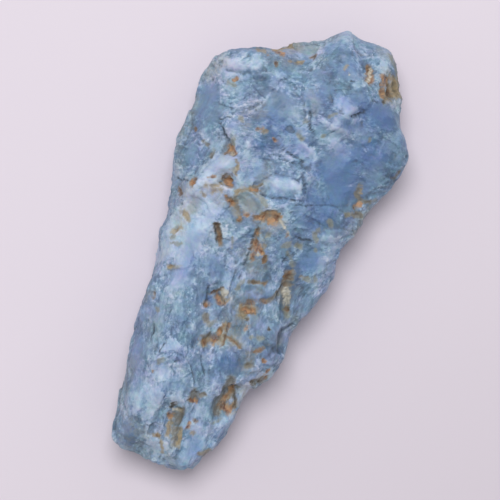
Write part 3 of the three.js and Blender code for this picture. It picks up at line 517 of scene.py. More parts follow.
# Lumps and raised scales, by how high they stand.
LUMPS = {
    0.5: [[(0.6, 12.2, 2.2), (2.2, 12.9, 2.8), (4.0, 13.2, 2.0)]],
    0.4: [[(12.4, 7.2, 1.4), (13.6, 8.0, 1.2)]],
    0.35: [[(4.8, 30.6, 2.2), (6.8, 30.0, 2.4)]],
    0.3: [
        [(5.8, 34.0, 1.6)], [(13.2, 27.2, 1.4)], [(3.0, 26.2, 0.9), (7.8, 25.9, 0.8)],
        [(1.8, 20.9, 0.9), (3.8, 19.9, 0.9)], [(1.0, 17.6, 1.0)], [(-7.3, 16.6, 1.2)],
    ],
    0.25: [[(-17.0, 28.0, 1.8), (-12.0, 30.2, 2.2)]],
    0.2: [
        [(-10.2, 11.8, 2.4), (-9.0, 12.4, 2.0)], [(-8.8, 7.3, 0.5), (-6.6, 7.9, 0.5)],
        [(-0.8, 3.4, 0.8), (-2.8, -1.6, 0.8)], [(10.3, -4.4, 0.8), (11.2, -6.0, 0.7)],
        [(-2.9, -18.8, 0.9), (-3.0, -20.6, 1.0)], [(-3.4, -31.0, 0.9), (-2.9, -34.6, 0.9)],
    ],
}

# Ledges, by how far the ground drops on the right of a line that is walked from its first point.
LEDGES = {
    0.4: [[(9.6, -7.4), (7.0, -8.3), (5.0, -9.4), (4.2, -10.8)]],
    0.35: [
        [(-9.6, 29.8), (-11.0, 28.7), (-13.5, 27.4), (-16.6, 26.6)],
        [(-3.4, 10.4), (-2.2, 12.4), (-0.6, 14.1), (2.0, 14.7), (4.2, 15.2)],
        [(8.0, 1.0), (9.0, -1.6), (9.2, -4.2), (9.9, -7.0)],
        [(-2.0, 22.9), (1.0, 22.0), (3.6, 20.9), (4.8, 19.0), (5.2, 17.0)],
        [(9.7, 30.8), (8.6, 29.4), (7.9, 28.7), (5.2, 28.5)],
    ],
    0.3: [
        [(-6.4, 30.4), (-4.2, 29.8), (-2.2, 28.6), (-0.8, 27.2), (0.1, 25.6), (0.3, 24.6), (-0.2, 23.2)],
        [(-13.0, 8.4), (-12.5, 9.8), (-11.4, 12.2), (-11.2, 15.2), (-12.5, 16.0), (-14.2, 17.9)],
        [(-12.0, 20.0), (-12.8, 21.0), (-14.6, 23.0), (-16.4, 24.8)],
        [(-10.8, -10.0), (-8.4, -8.7), (-6.9, -7.4)], [(4.4, 15.8), (5.4, 14.4), (6.1, 12.6)],
        [(-3.2, 38.4), (-2.9, 36.2), (-2.7, 34.6), (-2.2, 33.4)],
        [(1.4, -3.6), (1.0, -0.6), (0.7, 1.8), (0.9, 3.8)],
        [(3.0, -38.2), (1.4, -38.5), (0.4, -38.1), (-1.6, -38.6), (-3.0, -39.6)],
        [(-4.8, 22.0), (-4.4, 21.2), (-3.2, 20.7), (-1.6, 20.5)],
        [(16.8, 10.2), (14.4, 9.8), (12.2, 8.6), (11.6, 7.2)],
    ],
    0.25: [[(14.0, 13.9), (10.6, 12.9), (9.0, 12.1), (6.6, 11.5), (3.2, 10.5), (0.5, 9.6), (-1.0, 9.7)]],
}
LEDGE_EDGE = 0.3  # width of the step itself, in millimetres
LEDGE_REACH = 2.5  # how far below a ledge the ground climbs back

SWIRL_AT = (-9.6, 25.0)  # middle of the rings of the swirl
SWIRL_RING = 1.5  # from one ring to the next
SWIRL_REACH = 5.0
SWIRL_HEIGHT = 0.09

RIM = LOW.z / MM + 8.2  # height of the stone's widest line; its upper face lies above
FURROW_DEPTH = 0.3
FURROW_SIZE = (1.2, 9.0, 4.0)  # how wide, long and deep one furrow's pattern is, in millimetres
FURROW_SLANT = 0.1
FURROW_ENDS = (4.0, -10.0)  # furrows begin at the first place along the stone and are full at the second
CRACK_DEPTH = 0.25
STAIN_DEPTH = 0.12
EATING_STAINS = ("umber", "tan", "brown", "rust", "soot")  # those that lie a little deeper than the stone
EATEN = (0.4, 0.8)  # how strong such a stain is where it starts to lie deeper, and where it is deepest

# How far outside a stroke's edge its mark begins, and how far inside it is full, in millimetres.
NAVY_FADE = (1.5, -1.5)
LAVENDER_FADE = (1.2, -1.2)
WINDOW_FADE = (0.5, -0.5)
CALM_FADE = (0.8, -0.8)
HAZE_FADE = (1.6, -1.2)
CRACK_FADE = (0.14, -0.1)
PIT_FADE = (0.3, -0.45)
LUMP_FADE = (0.7, -0.8)
TONE_FADE = (0.15, 0.05)  # a tone's fade, and how much more it is for each square millimetre of width
STAIN_FADE = 0.45  # a stain's fade, and how much more it is for each millimetre of width
STAIN_FADE_MOST = 1.1
STAIN_FULL = (0.15, 0.6)  # least and most that a stain's fade reaches inwards

# How far strokes are bent, and over what distance, in millimetres.
BENDS = [(0.2, 1.8), (0.14, 0.5)]
SIDE_BEND = (0.6, 2.2)  # the same for each millimetre down the sides
SIDE_BEND_MOST = 6.0  # millimetres down the sides, below which it grows no more
UPPER_END = (-4.5, -1.5)  # the upper face's marks fade out between these heights over the rim
UPPER_SWAY = (2.0, 1.6)  # how far that border rises and falls, and over what distance
FACE_SIZE = 1.3  # size of the faces that broad tones follow, in millimetres
FACE_PULL = 0.8  # 1 gives each face one tone
CRUMB_SIZE = 0.8  # size of the small faces that stains fill
CRUMB_PULL = 0.35
STAIN_GAPS = (0.9, 1.3)  # how far the stains thin out from place to place, and over what distance
STAIN_LEAST = 0.3  # what is left of a stain where it is thinnest
CALM_PATCH = 0.7  # how smooth the chance patches are that lie between rougher ones
CALM_PATCH_SIZE = 3.0
CALM_PATCH_SHARE = (-0.1, 0.3)  # the chance noise, from -1 to 1, at which a patch begins and is full
CALM_ABOVE = (0.0, 2.5)  # such patches lie above the rim from the first height to the second
CALM_BELOW = (-2.0, -4.5)  # and below it
PALE_CALM = 0.8  # how smooth pale places are
PALE_CALM_TONES = (0.4, 0.9)
PALE_LIMIT = 0.8  # tones above this lose some of their strength
PALE_LOSS = 0.6  # the share that they lose
DRIFT_SIZE = 11.0  # how wide the lavender drifts on the sides are
DRIFT_SHARE = (0.1, 0.5)

# The stains, each painted over the ones before: thick colour, thin colour, how much it covers, and its share
# of the chance stains.
STAIN_LOOKS = {
    "umber": ("#5a5045", "#7d7a72", 0.72, 0.2),
    "olive": ("#626959", "#87928a", 0.45, 0.25),
    "tan": ("#86704a", "#ab997a", 0.68, 0.2),
    "brown": ("#4a3026", "#84664d", 0.85, 0.1),
    "rust": ("#683620", "#b68b67", 0.84, 0.17),
    "cream": ("#bcb6a4", "#d8d5cb", 0.8, 0.06),
    "soot": ("#2e2a27", "#4a423a", 0.9, 0.02),
}
CHANCE_STAINS = 90
CHANCE_TOP = -2.5  # chance stains lie below this height over the rim
CHANCE_REACH = (0.4, 2.2)  # least and most that one reaches to each side, in millimetres
CHANCE_BEND = 0.4
CHANCE_WIDTH = (0.4, 1.5)
CHANCE_TAPER = (0.5, 1.0, 0.3)  # share of that width at its start, middle and end

# Chips of three sizes. Each has its share of the chip size, how steeply its chips lean, how hollow they are,
# and how many thin flakes lie across one chip like shingles.
CHIPS = [(1.0, 0.24, 0.16, 5.0), (0.42, 0.26, 0.14, 4.0), (0.17, 0.15, 0.1, 0.0)]
CHIP_STRETCH = 0.4  # 0 leaves the chips as wide as they are long
CHIP_SWAY = 0.7  # how far the chips' pattern is bent, in chips
CHIP_SWAYS = 0.6  # how many bends there are to a chip
FLAKE_EDGE = 0.12  # share of a flake that is its broken edge
FLAKE_SWAY = 0.7
GRAIN_WIDE = (0.91, 0.42, 0.0)  # the way in which the stone splits at its wide end
GRAIN_NARROW = (-0.17, 0.98, 0.0)  # and at its narrow end
GRAIN_TURNS = (-10.0, 8.0)  # between these places along the stone, in millimetres, the one turns to the other
GRAIN_SIZE = 0.8  # size of the grain that is raised over the chips
BOWL_MEAN = 0.33  # usual square of the distance to a chip's middle, in chips
CALM_SHARE = 0.8  # share of the chips' relief that a smooth place loses
# Against how many rounds of smoothing the depth of small and of wide hollows is measured.
HOLLOW_ROUNDS = {"hollow": 5, "basin": 45}

FINE_ABOVE = 1.8  # the faces are finest from this height over the rim
MIDDLE_ABOVE = 5.0  # and coarsest below this height over the table
WALL_SPREAD = (0.25, 0.12)  # how far the map spreads the walls, across and along
CHART_MARGIN = 1.02
CHARTS_AT = (0.25, 0.75)  # where the middles of the upper and the lower chart lie across the map

# The faces of chips from large to small: share of the chip size, how much their blue differs, how steeply
# they lean where only the light shows it, and how far in millimetres one may stand above the next.
FACES = [(1.0, 0.4, 0.0, 0.05), (0.42, 0.34, 0.03, 0.05), (0.17, 0.4, 0.12, 0.03), (0.07, 0.7, 0.2, 0.01)]
PATCHY_SHARES = (0.17, 0.07)  # the chips that differ in how stained they are
STREAK_SHARE = 0.42  # the chips whose faces carry fine parallel streaks
STREAK_STRAY = 0.9  # how far the streaks on a chip stray from the way in which the stone splits
STREAK = (0.22, 1.8)  # width and length of a streak in millimetres
STREAK_TONE = 0.85
STREAK_DEPTH = 0.03
EDGE_SHARES = (0.42, 0.17)  # the chips whose edges carry thin lines of painted highlight and painted shade
EDGE_WIDTH = 0.016  # as a share of the chip size
EDGE_LIGHT_AND_SHADE = 0.9  # from the darkest line of painted shade to the palest of painted highlight
# Specks: the dark ones are grains, the pale ones painted glints.
SPECK_SIZE = 0.9  # from one speck to the next, in millimetres
SPECK_ENDS = (0.18, 0.08)  # as shares of that, where a speck ends and where it is full
SPECK_AND_GLINT_TONE = 2.2
CALM_TONE = 0.85  # share of all that which a smooth place loses
# Clouds of paler and deeper blue: size in millimetres, detail and strength.
CLOUDS = [(9.0, 2.0, 0.25), (2.6, 3.0, 0.25), (0.3, 2.0, 0.3)]
# What else makes the blue paler (above 0) or deeper (below 0): the strokes' tones, and painted shade in the small
# and the wide hollows, which leaves the ridges paler as painted highlight.
PALENESS = {"tone": 0.64, "hollow": -1.5, "basin": -0.4}
BLUE_STOPS = (0.42, 0.68)  # how far from deep to milk blue the usual and the pale blue lie
HUE_COVER = {"lavender": 0.35, "navy": 0.42, "window": 0.6}  # most that each of these covers
HUE_SIZES = [(4.0, 0.17), (0.8, 0.14)]  # how wide the drifts of hue are, in millimetres, and how strong

# Noise over the stains: size in millimetres, detail and roughness.
FRAY = (0.55, 4.0, 0.7)  # where a stain's edge frays
MOTTLE = (0.7, 4.0, 0.65)  # where it is thick
FRAY_PATCHES = 0.25  # how much the smallest faces add to the fraying
MOTTLE_STREAKS = 0.3  # how much the streaks add to the mottling
MOTTLE_PATCHES = -0.4
# In each pair below, what is painted starts at the first value and is full at the second.
HAZE_SHOWS = (0.1, 0.7)
HOLLOW_GREY_SHOWS = (0.04, 0.16)  # depth of a hollow in millimetres
STAIN_SHOWS = (0.65, 1.55)
STAIN_NEAR = (0.02, 0.25)  # keeps a stain's fraying near its stroke
WASH_SHOWS = (0.05, 0.9)
THICK_SHOWS = (1.45, 2.5)
CRACK_SHOWS = (0.3, 0.6)
STAIN_FRAY = 0.9  # how much the fraying counts beside the stroke
STAIN_MOTTLE = 2.4  # how much the mottling does
HAZE_COVER = 0.48  # most that a haze covers
WASH_COVER = 0.45  # most that the thin wash round a stain covers
CRACK_COVER = 0.8

SHEEN_SIZE = 1.1
SHEEN_SHARE = (0.3, 0.7)  # the noise between which the stone turns from waxy to half matte
SHEEN_ROUGH = (0.34, 0.55)  # how rough it is there
DIRT_ROUGH = 0.22  # how much rougher stains are
CRUMBS = (0.35, 3.0, 0.6)  # the finest grain, which only the light shows: size, detail and roughness
CRUMB_DEPTH = 0.05

MOST_TRIANGLES = 200000
TABLE_SIDE = 1.6  # metres
KEY_SIZE = 0.4
KEY_AT = (-0.12, 0.2, 0.68)
CARD_PAINTED_FALLOFF = (7.0, -3.0, 0.0)  # the way in which painted shade darkens the card, and how much of it each metre adds
CARD_CLOUD = (60.0, 0.2)  # size in millimetres and strength of the clouds in the card's painted shade
CARD_PAINTED_SHADES = (1.03, 0.84)  # the card's palest and darkest painted shade, as shares of its colour
LENS = 150
SENSOR = 36
VIEW_AT = (1.18, -0.596)  # the place on the stone in the middle of the view
VIEW_WIDTH = 90  # how wide a strip of the stone the camera sees at its rim, in millimetres
EYE_HEIGHT = VIEW_WIDTH * LENS / SENSOR  # from the rim up to the eye, in millimetres

# Kinds of node, with the inputs that they take in order.
MATH = "ShaderNodeMath"
VECTOR_MATH = "ShaderNodeVectorMath"
MAP_RANGE = "ShaderNodeMapRange"  # value, its low and high, and what they become
NOISE = "ShaderNodeTexNoise"  # place, scale, detail, roughness
CELLS = "ShaderNodeTexVoronoi"  # place, scale
MIX = "ShaderNodeMix"  # amount, colour beneath, colour above
SPLIT = "ShaderNodeSeparateXYZ"
NAMED_VALUE = "GeometryNodeInputNamedAttribute"
SMOOTHED = "GeometryNodeBlurAttribute"  # value, rounds
SET_POSITION = "GeometryNodeSetPosition"
STORE_VALUE = "GeometryNodeStoreNamedAttribute"

# ---- fields over the stone --------------------------------------------------------------------------


def strokes_of(table):
    """Every stroke of a table, each with what its group shares."""
    return [(shared, stroke) for shared, strokes in table.items() for stroke in strokes]


def widest(stroke):
    """The greatest width of a stroke."""
    return max(point[-1] for point in stroke)


def smooth_step(low, high, values):
    """0 at low, 1 at high and smooth between, for an array; low may be the greater."""
    share = np.clip((values - low) / (high - low), 0.0, 1.0)
    return share * share * (3.0 - 2.0 * share)


def outside(stroke, places):
    """How far each place lies outside a stroke's edge, in millimetres; it is negative inside."""
    runs = np.array(stroke if len(stroke) > 1 else stroke * 2, float)
    least = np.full(len(places), np.inf)
    for start, end in zip(runs, runs[1:]):
        way = end[:-1] - start[:-1]
        along = np.clip((places - start[:-1]) @ way / max(way @ way, 1e-9), 0.0, 1.0)
        away = np.linalg.norm(places - start[:-1] - along[:, None] * way, axis=1)
        least = np.minimum(least, away - (start[-1] + (end[-1] - start[-1]) * along) / 2)
    return least


def step_beside(line, places):
    """1 just right of a line of points, 0 left of it, and fading away from it and past its ends."""
    least = np.full(len(places), np.inf)
    side = np.zeros(len(places))
    points = np.array(line, float)
    last = len(points) - 2
    for i, (start, end) in enumerate(zip(points, points[1:])):
        way = end - start
        off = places - start
        share = off @ way / (way @ way)
        away = np.linalg.norm(off - np.clip(share, 0.0, 1.0)[:, None] * way, axis=1)
        right = np.sign(off[:, 0] * way[1] - off[:, 1] * way[0])
        beyond = (share < 0.0) & (i == 0) | (share > 1.0) & (i == last)
        side = np.where(away < least, np.where(beyond, 0.0, right), side)
        least = np.minimum(least, away)
    crossed = smooth_step(-LEDGE_EDGE / 2, LEDGE_EDGE / 2, side * least)
    return crossed * np.exp(-least / LEDGE_REACH) * np.abs(side)


def wander(places, size):
    """A smooth random shift of each place, from -1 to 1 each way, that changes over a size in millimetres."""
    return np.array([noise.noise_vector(Vector(place)) for place in places / size])


def faces_near(places, size):
    """The middle of the random face that each place falls on, with faces of a size in millimetres."""
    return size * np.array([noise.voronoi(Vector(place))[1][0] for place in places / size])


def seen(spots, places):
    """Where the eye sees each spot on the rim's plane, if the spot is as high as the place of its vertex."""
    nearer = EYE_HEIGHT / (EYE_HEIGHT + RIM - places[:, 2:])
    return VIEW_AT + nearer * (spots[:, :2] - VIEW_AT)


def furrows(places):
    """Shallow grooves along the narrow end, where the stone split along its length."""
    across = places / FURROW_SIZE
    across[:, 0] += FURROW_SLANT * places[:, 1]
    waves = np.array([noise.noise(Vector(place)) for place in across])
    return FURROW_DEPTH * waves * smooth_step(*FURROW_ENDS, places[:, 1])


def stain_over(stroke, places):
    """How strong a stroke's stain is at each place: it fades over a margin that widens with the stroke."""
    width = widest(stroke)
    outwards = min(STAIN_FADE + STAIN_FADE * width, STAIN_FADE_MOST)
    inwards = np.clip(STAIN_FADE * width, *STAIN_FULL)
    return smooth_step(outwards, -inwards, outside(stroke, places))


def chance_strokes(places, normals, dice):
    """Short stains at random on the sides and the underside, each with its name."""
    names = list(STAIN_LOOKS)
    shares = [look[-1] for look in STAIN_LOOKS.values()]
    strokes = []
    hidden = np.flatnonzero(places[:, 2] < RIM + CHANCE_TOP)
    for i in dice.choice(hidden, CHANCE_STAINS):
        way = np.cross(normals[i], dice.normal(size=3))
        way *= dice.uniform(*CHANCE_REACH) / max(np.linalg.norm(way), 0.1)
        bend = dice.normal(size=3) * CHANCE_BEND
        width = dice.uniform(*CHANCE_WIDTH)
        points = (places[i] - way, places[i] + bend, places[i] + way)
        name = names[dice.choice(len(names), p=shares)]
        strokes.append((name, [(*point, width * taper) for point, taper in zip(points, CHANCE_TAPER)]))
    return strokes


def mark_strokes(mesh, seed):
    """Keeps on every vertex what the strokes say: how far it is lifted, how smooth it is, and its colours."""
    count = len(mesh.vertices)
    places = np.empty(count * 3)
    normals = np.empty(count * 3)
    mesh.vertices.foreach_get("co", places)
    mesh.vertices.foreach_get("normal", normals)
    places = places.reshape(-1, 3) / MM
    normals = normals.reshape(-1, 3)

    noise.seed_set(seed + 1)  # 0 would take the seed from the clock
    bent = places
    for far, size in BENDS:
        bent = bent + far * wander(places, size)
    below = np.clip(RIM - places[:, 2:], 0.0, SIDE_BEND_MOST)
    bent = bent + SIDE_BEND[0] * below * wander(places, SIDE_BEND[1])
    plan = seen(bent, places)
    faced = plan + FACE_PULL * (seen(faces_near(bent, FACE_SIZE), places) - plan)
    crumbs = bent + CRUMB_PULL * (faces_near(bent, CRUMB_SIZE) - bent)
    border = places[:, 2] + UPPER_SWAY[0] * wander(places, UPPER_SWAY[1])[:, 0]
    upper = smooth_step(RIM + UPPER_END[0], RIM + UPPER_END[1], border)

    names = ("lift", "calm", "tone", "navy", "lavender", "window", "haze", "crack", *STAIN_LOOKS)
    marks = {name: np.zeros(count) for name in names}
    for amount, stroke in strokes_of(TONES):
        width = widest(stroke)
        soft = TONE_FADE[0] + TONE_FADE[1] * width**2
        spots = faced if width > FACE_SIZE else plan
        marks["tone"] += amount * smooth_step(soft, -soft, outside(stroke, spots)) * upper

    inner = sum(smooth_step(RIM + low, RIM + high, places[:, 2]) for low, high in (CALM_ABOVE, CALM_BELOW))
    patches = smooth_step(*CALM_PATCH_SHARE, wander(places, CALM_PATCH_SIZE)[:, 1])
    pale = PALE_CALM * smooth_step(*PALE_CALM_TONES, marks["tone"])
    marks["calm"] = np.maximum(CALM_PATCH * inner * patches, pale)
    marks["tone"] -= PALE_LOSS * np.maximum(marks["tone"] - PALE_LIMIT, 0.0)
    marks["lavender"] = smooth_step(*DRIFT_SHARE, wander(places, DRIFT_SIZE)[:, 0]) * (1 - upper)
    for name, strokes, fade in (
        ("calm", CALMS, CALM_FADE),
        ("navy", NAVIES, NAVY_FADE),
        ("lavender", LAVENDERS, LAVENDER_FADE),
        ("window", WINDOWS, WINDOW_FADE),
        ("crack", CRACKS, CRACK_FADE),
    ):
        for stroke in strokes:
            marks[name] = np.maximum(marks[name], smooth_step(*fade, outside(stroke, plan)) * upper)
    for amount, stroke in strokes_of(HAZES):
        haze = amount * smooth_step(*HAZE_FADE, outside(stroke, plan)) * upper
        marks["haze"] = np.maximum(marks["haze"], haze)

    kept = np.clip(1.0 + STAIN_GAPS[0] * wander(places, STAIN_GAPS[1])[:, 2], STAIN_LEAST, 1.0)
    chance = chance_strokes(places, normals, np.random.default_rng(seed))
    for strokes, spots, share in (
        (strokes_of(STAINS), seen(crumbs, places), upper),
        (chance, crumbs, 1 - upper),
    ):
        for name, stroke in strokes:
            marks[name] = np.maximum(marks[name], stain_over(stroke, spots) * share * kept)

    lift = furrows(places)
    for way, table, fade in ((-1, PITS, PIT_FADE), (1, LUMPS, LUMP_FADE)):
        for amount, stroke in strokes_of(table):
            lift += way * amount * smooth_step(*fade, outside(stroke, plan)) * upper
    for drop, line in strokes_of(LEDGES):
        lift -= drop * step_beside(line, plan) * upper
    ring = np.linalg.norm(plan - SWIRL_AT, axis=1)
    lift += SWIRL_HEIGHT * np.cos(ring * math.tau / SWIRL_RING) * smooth_step(SWIRL_REACH, 0.0, ring) * upper
    lift -= CRACK_DEPTH * marks["crack"]
    for name in EATING_STAINS:
        lift -= STAIN_DEPTH * smooth_step(*EATEN, marks[name])
    marks["lift"] = lift
    for name, values in marks.items():
        mesh.attributes.new(name, "FLOAT", "POINT").data.foreach_set("value", values.astype(np.float32))


# ---- the stone's mesh -------------------------------------------------------------------------------


def fine_copy():
    """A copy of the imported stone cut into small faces: finest on the upper face, coarse underneath."""
    cut = bmesh.new()
    cut.from_mesh(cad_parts["rough_opal"].data)
    bmesh.ops.remove_doubles(cut, verts=cut.verts, dist=1e-6)
    bmesh.ops.subdivide_edges(cut, edges=cut.edges, cuts=1, use_grid_fill=True)
    fine = (RIM + FINE_ABOVE) * MM
    for low, high, cuts in ((fine, math.inf, 2), (MIDDLE_ABOVE * MM, fine, 1)):
        wanted = [face for face in cut.faces if low < face.calc_center_median().z <= high]
        edges = {edge for face in wanted for edge in face.edges}
        bmesh.ops.subdivide_edges(cut, edges=list(edges), cuts=cuts, use_grid_fill=True)
    bmesh.ops.triangulate(cut, faces=cut.faces)
    mesh = bpy.data.meshes.new("rough_opal_looks")
    cut.to_mesh(mesh)
    cut.free()
    return mesh


def add_node(tree, kind, *inputs, **settings):
    """Adds a node with its settings. Its inputs get values or links, in order or by name from one dict.

    A node given as a value links its first result.
    """
    node = tree.nodes.new(kind)
    for name, value in settings.items():
        setattr(node, name, value)
    pairs = list(zip((socket for socket in node.inputs if socket.enabled), inputs))
    if inputs and isinstance(inputs[-1], dict):
        pairs[-1:] = [(node.inputs[name], value) for name, value in inputs[-1].items()]
    for socket, value in pairs:
        if isinstance(value, bpy.types.Node):
            value = next(result for result in value.outputs if result.enabled)
        if isinstance(value, bpy.types.NodeSocket):
            tree.links.new(value, socket)
        else:
            socket.default_value = value
    return node


def grain_way(tree, place):
    """The way in which the stone splits: across its wide end and along its narrow end."""
    along = add_node(tree, SPLIT, place).outputs["Y"]
    turns = (turn * MM for turn in GRAIN_TURNS)
    wide = add_node(tree, MAP_RANGE, along, *turns, interpolation_type="SMOOTHSTEP")
    step = tuple(high - low for low, high in zip(GRAIN_NARROW, GRAIN_WIDE))
    way = add_node(tree, VECTOR_MATH, step, wide, operation="SCALE")
    return add_node(tree, VECTOR_MATH, way, GRAIN_NARROW, operation="ADD")


def chip_pattern(tree, place, size):
    """Chips of one size: the noise that bends them, the bent place counted in chips, and the cells there."""
    way = grain_way(tree, place)
    far = add_node(tree, VECTOR_MATH, place, way, operation="DOT_PRODUCT")
    far = add_node(tree, MATH, far, -CHIP_STRETCH, operation="MULTIPLY")
    spot = add_node(tree, VECTOR_MATH, way, far, operation="SCALE")
    spot = add_node(tree, VECTOR_MATH, spot, place, operation="ADD")
    per_chip = add_node(tree, MATH, 1.0, size, operation="DIVIDE")
    spot = add_node(tree, VECTOR_MATH, spot, per_chip, operation="SCALE")
    sway = add_node(tree, NOISE, spot, CHIP_SWAYS, 1.0)
    bend = sway.outputs["Color"]
    spot = add_node(tree, VECTOR_MATH, bend, (CHIP_SWAY,) * 3, spot, operation="MULTIPLY_ADD")
    return sway, spot, add_node(tree, CELLS, spot, 1.0).outputs


def lean_of(tree, spot, chip):
    """A random way for each chip, and how far each place lies along it from the chip's middle."""
    off = add_node(tree, VECTOR_MATH, spot, chip["Position"], operation="SUBTRACT")
    way = add_node(tree, VECTOR_MATH, chip["Color"], (0.5, 0.5, 0.5), operation="SUBTRACT")
    return way, add_node(tree, VECTOR_MATH, off, way, operation="DOT_PRODUCT")


def broken_surface():
    """A Geometry Nodes tree that rounds a form, breaks it into chips and notes its hollows."""
    tree = bpy.data.node_groups.new("Broken surface", "GeometryNodeTree")
    kinds = {
        "Geometry": "Geometry",
        "Flake step": "Float",
        "Chip size": "Float",
        "Chip relief": "Float",
        "Grain depth": "Float",
        "Rounding": "Int",
        "Lowest corner": "Vector",
        "Highest corner": "Vector",
        "Finish": "Material",
    }
    inputs = {}
    for name, kind in kinds.items():
        socket = tree.interface.new_socket(name, in_out="INPUT", socket_type="NodeSocket" + kind)
        inputs[name] = socket.identifier
    tree.interface.new_socket("Geometry", in_out="OUTPUT", socket_type="NodeSocketGeometry")

    given = add_node(tree, "NodeGroupInput").outputs
    here = add_node(tree, "GeometryNodeInputPosition")
    normal = add_node(tree, "GeometryNodeInputNormal")
    lift = add_node(tree, NAMED_VALUE, "lift", data_type="FLOAT")
    calm = add_node(tree, NAMED_VALUE, "calm", data_type="FLOAT")

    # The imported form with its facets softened, and every vertex's place on it for the material.
    soft = add_node(tree, SMOOTHED, here, given["Rounding"], data_type="FLOAT_VECTOR")
    stone = add_node(tree, SET_POSITION, {"Geometry": given["Geometry"], "Position": soft})
    place = {"Geometry": stone, "Name": "place", "Value": here}
    stone = add_node(tree, STORE_VALUE, place, data_type="FLOAT_VECTOR", domain="POINT")

    # Hollow chips that lean, and flakes across them: each flake rises along its tread and drops at its edge.
    relief = 0.0
    for share, lean, hollow, flakes in CHIPS:
        size = add_node(tree, MATH, given["Chip size"], share, operation="MULTIPLY")
        sway, spot, chip = chip_pattern(tree, here, size)
        tilt = lean_of(tree, spot, chip)[1]
        away = chip["Distance"]
        bowl = add_node(tree, MATH, away, away, -BOWL_MEAN, operation="MULTIPLY_ADD")
        bowl = add_node(tree, MATH, bowl, hollow, operation="MULTIPLY")
        height = add_node(tree, MATH, tilt, lean, bowl, operation="MULTIPLY_ADD")
        relief = add_node(tree, MATH, height, size, relief, operation="MULTIPLY_ADD")
        if not flakes:
            continue
        stack = add_node(tree, MATH, sway, FLAKE_SWAY, tilt, operation="MULTIPLY_ADD")
        step = add_node(tree, MATH, stack, flakes, operation="MULTIPLY")
        step = add_node(tree, MATH, step, operation="FRACT")
        tread = add_node(tree, MATH, step, 1 - FLAKE_EDGE, operation="DIVIDE")
        riser = add_node(tree, MATH, 1.0, step, operation="SUBTRACT")
        riser = add_node(tree, MATH, riser, FLAKE_EDGE, operation="DIVIDE")
        step = add_node(tree, MATH, tread, riser, operation="MINIMUM")
        step = add_node(tree, MATH, step, 0.5, operation="SUBTRACT")
        step = add_node(tree, MATH, step, given["Flake step"], operation="MULTIPLY")
        relief = add_node(tree, MATH, step, math.sqrt(share), relief, operation="MULTIPLY_ADD")

    # Fine grain over them, all of it weaker on smooth places, and the strokes' own heights.
    rough = add_node(tree, MATH, calm, -CALM_SHARE, 1.0, operation="MULTIPLY_ADD")
    relief = add_node(tree, MATH, relief, given["Chip relief"], operation="MULTIPLY")
    grain = add_node(tree, NOISE, here, 1 / (GRAIN_SIZE * MM), 2.0)
    grain = add_node(tree, MATH, grain, 0.5, operation="SUBTRACT")
    relief = add_node(tree, MATH, grain, given["Grain depth"], relief, operation="MULTIPLY_ADD")
    relief = add_node(tree, MATH, relief, rough, operation="MULTIPLY")
    height = add_node(tree, MATH, lift, MM, relief, operation="MULTIPLY_ADD")
    raised = add_node(tree, VECTOR_MATH, normal, height, operation="SCALE")
    stone = add_node(tree, SET_POSITION, {"Geometry": stone, "Offset": raised})

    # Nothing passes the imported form's box, so the stone still rests where it did.
    kept = here
    for corner, operation in (("Lowest corner", "MAXIMUM"), ("Highest corner", "MINIMUM")):
        kept = add_node(tree, VECTOR_MATH, kept, given[corner], operation=operation)
    stone = add_node(tree, SET_POSITION, {"Geometry": stone, "Position": kept})

    for name, rounds in HOLLOW_ROUNDS.items():
        around = add_node(tree, SMOOTHED, here, rounds, data_type="FLOAT_VECTOR")
        above = add_node(tree, VECTOR_MATH, around, here, operation="SUBTRACT")
        depth = add_node(tree, VECTOR_MATH, above, normal, operation="DOT_PRODUCT")
        depth = add_node(tree, MATH, depth, 1 / MM, operation="MULTIPLY")
        hollow = {"Geometry": stone, "Name": name, "Value": depth}
        stone = add_node(tree, STORE_VALUE, hollow, data_type="FLOAT", domain="POINT")
    stone = add_node(tree, "GeometryNodeRealizeInstances", stone)
    stone = add_node(tree, "GeometryNodeSetMaterial", {"Geometry": stone, "Material": given["Finish"]})
    add_node(tree, "NodeGroupOutput", stone)
    return tree, inputs


def lay_out_charts(mesh):
    """Unfolds the upper and the lower half side by side on one map, each with its walls leaning out."""
    places = np.empty(len(mesh.vertices) * 3)
    mesh.vertices.foreach_get("co", places)
    places = places.reshape(-1, 3)
    corners = np.empty(len(mesh.loops), int)
    mesh.loops.foreach_get("vertex_index", corners)
    spot = places[corners]
    rim = RIM * MM
    below = np.repeat(spot[:, 2].reshape(-1, 3).mean(axis=1) < rim, 3)
    fall = np.where(below, spot[:, 2], HIGH.z - spot[:, 2]) / np.where(below, rim, HIGH.z - rim)
    width = (HIGH.x - LOW.x) * (1 + WALL_SPREAD[0])
    length = (HIGH.y - LOW.y) * (1 + WALL_SPREAD[1])
    side = max(2 * width, length) * CHART_MARGIN
    u = spot[:, 0] * (1 + WALL_SPREAD[0] * fall) / side
    v = spot[:, 1] * (1 + WALL_SPREAD[1] * fall) / side
    u = np.where(below, CHARTS_AT[1] - u, CHARTS_AT[0] + u)
    chart = mesh.uv_layers.new(name="OFBake")
    chart.uv.foreach_set("vector", np.column_stack((u, v + 0.5)).astype(np.float32).ravel())


# ---- finishes ---------------------------------------------------------------------------------------


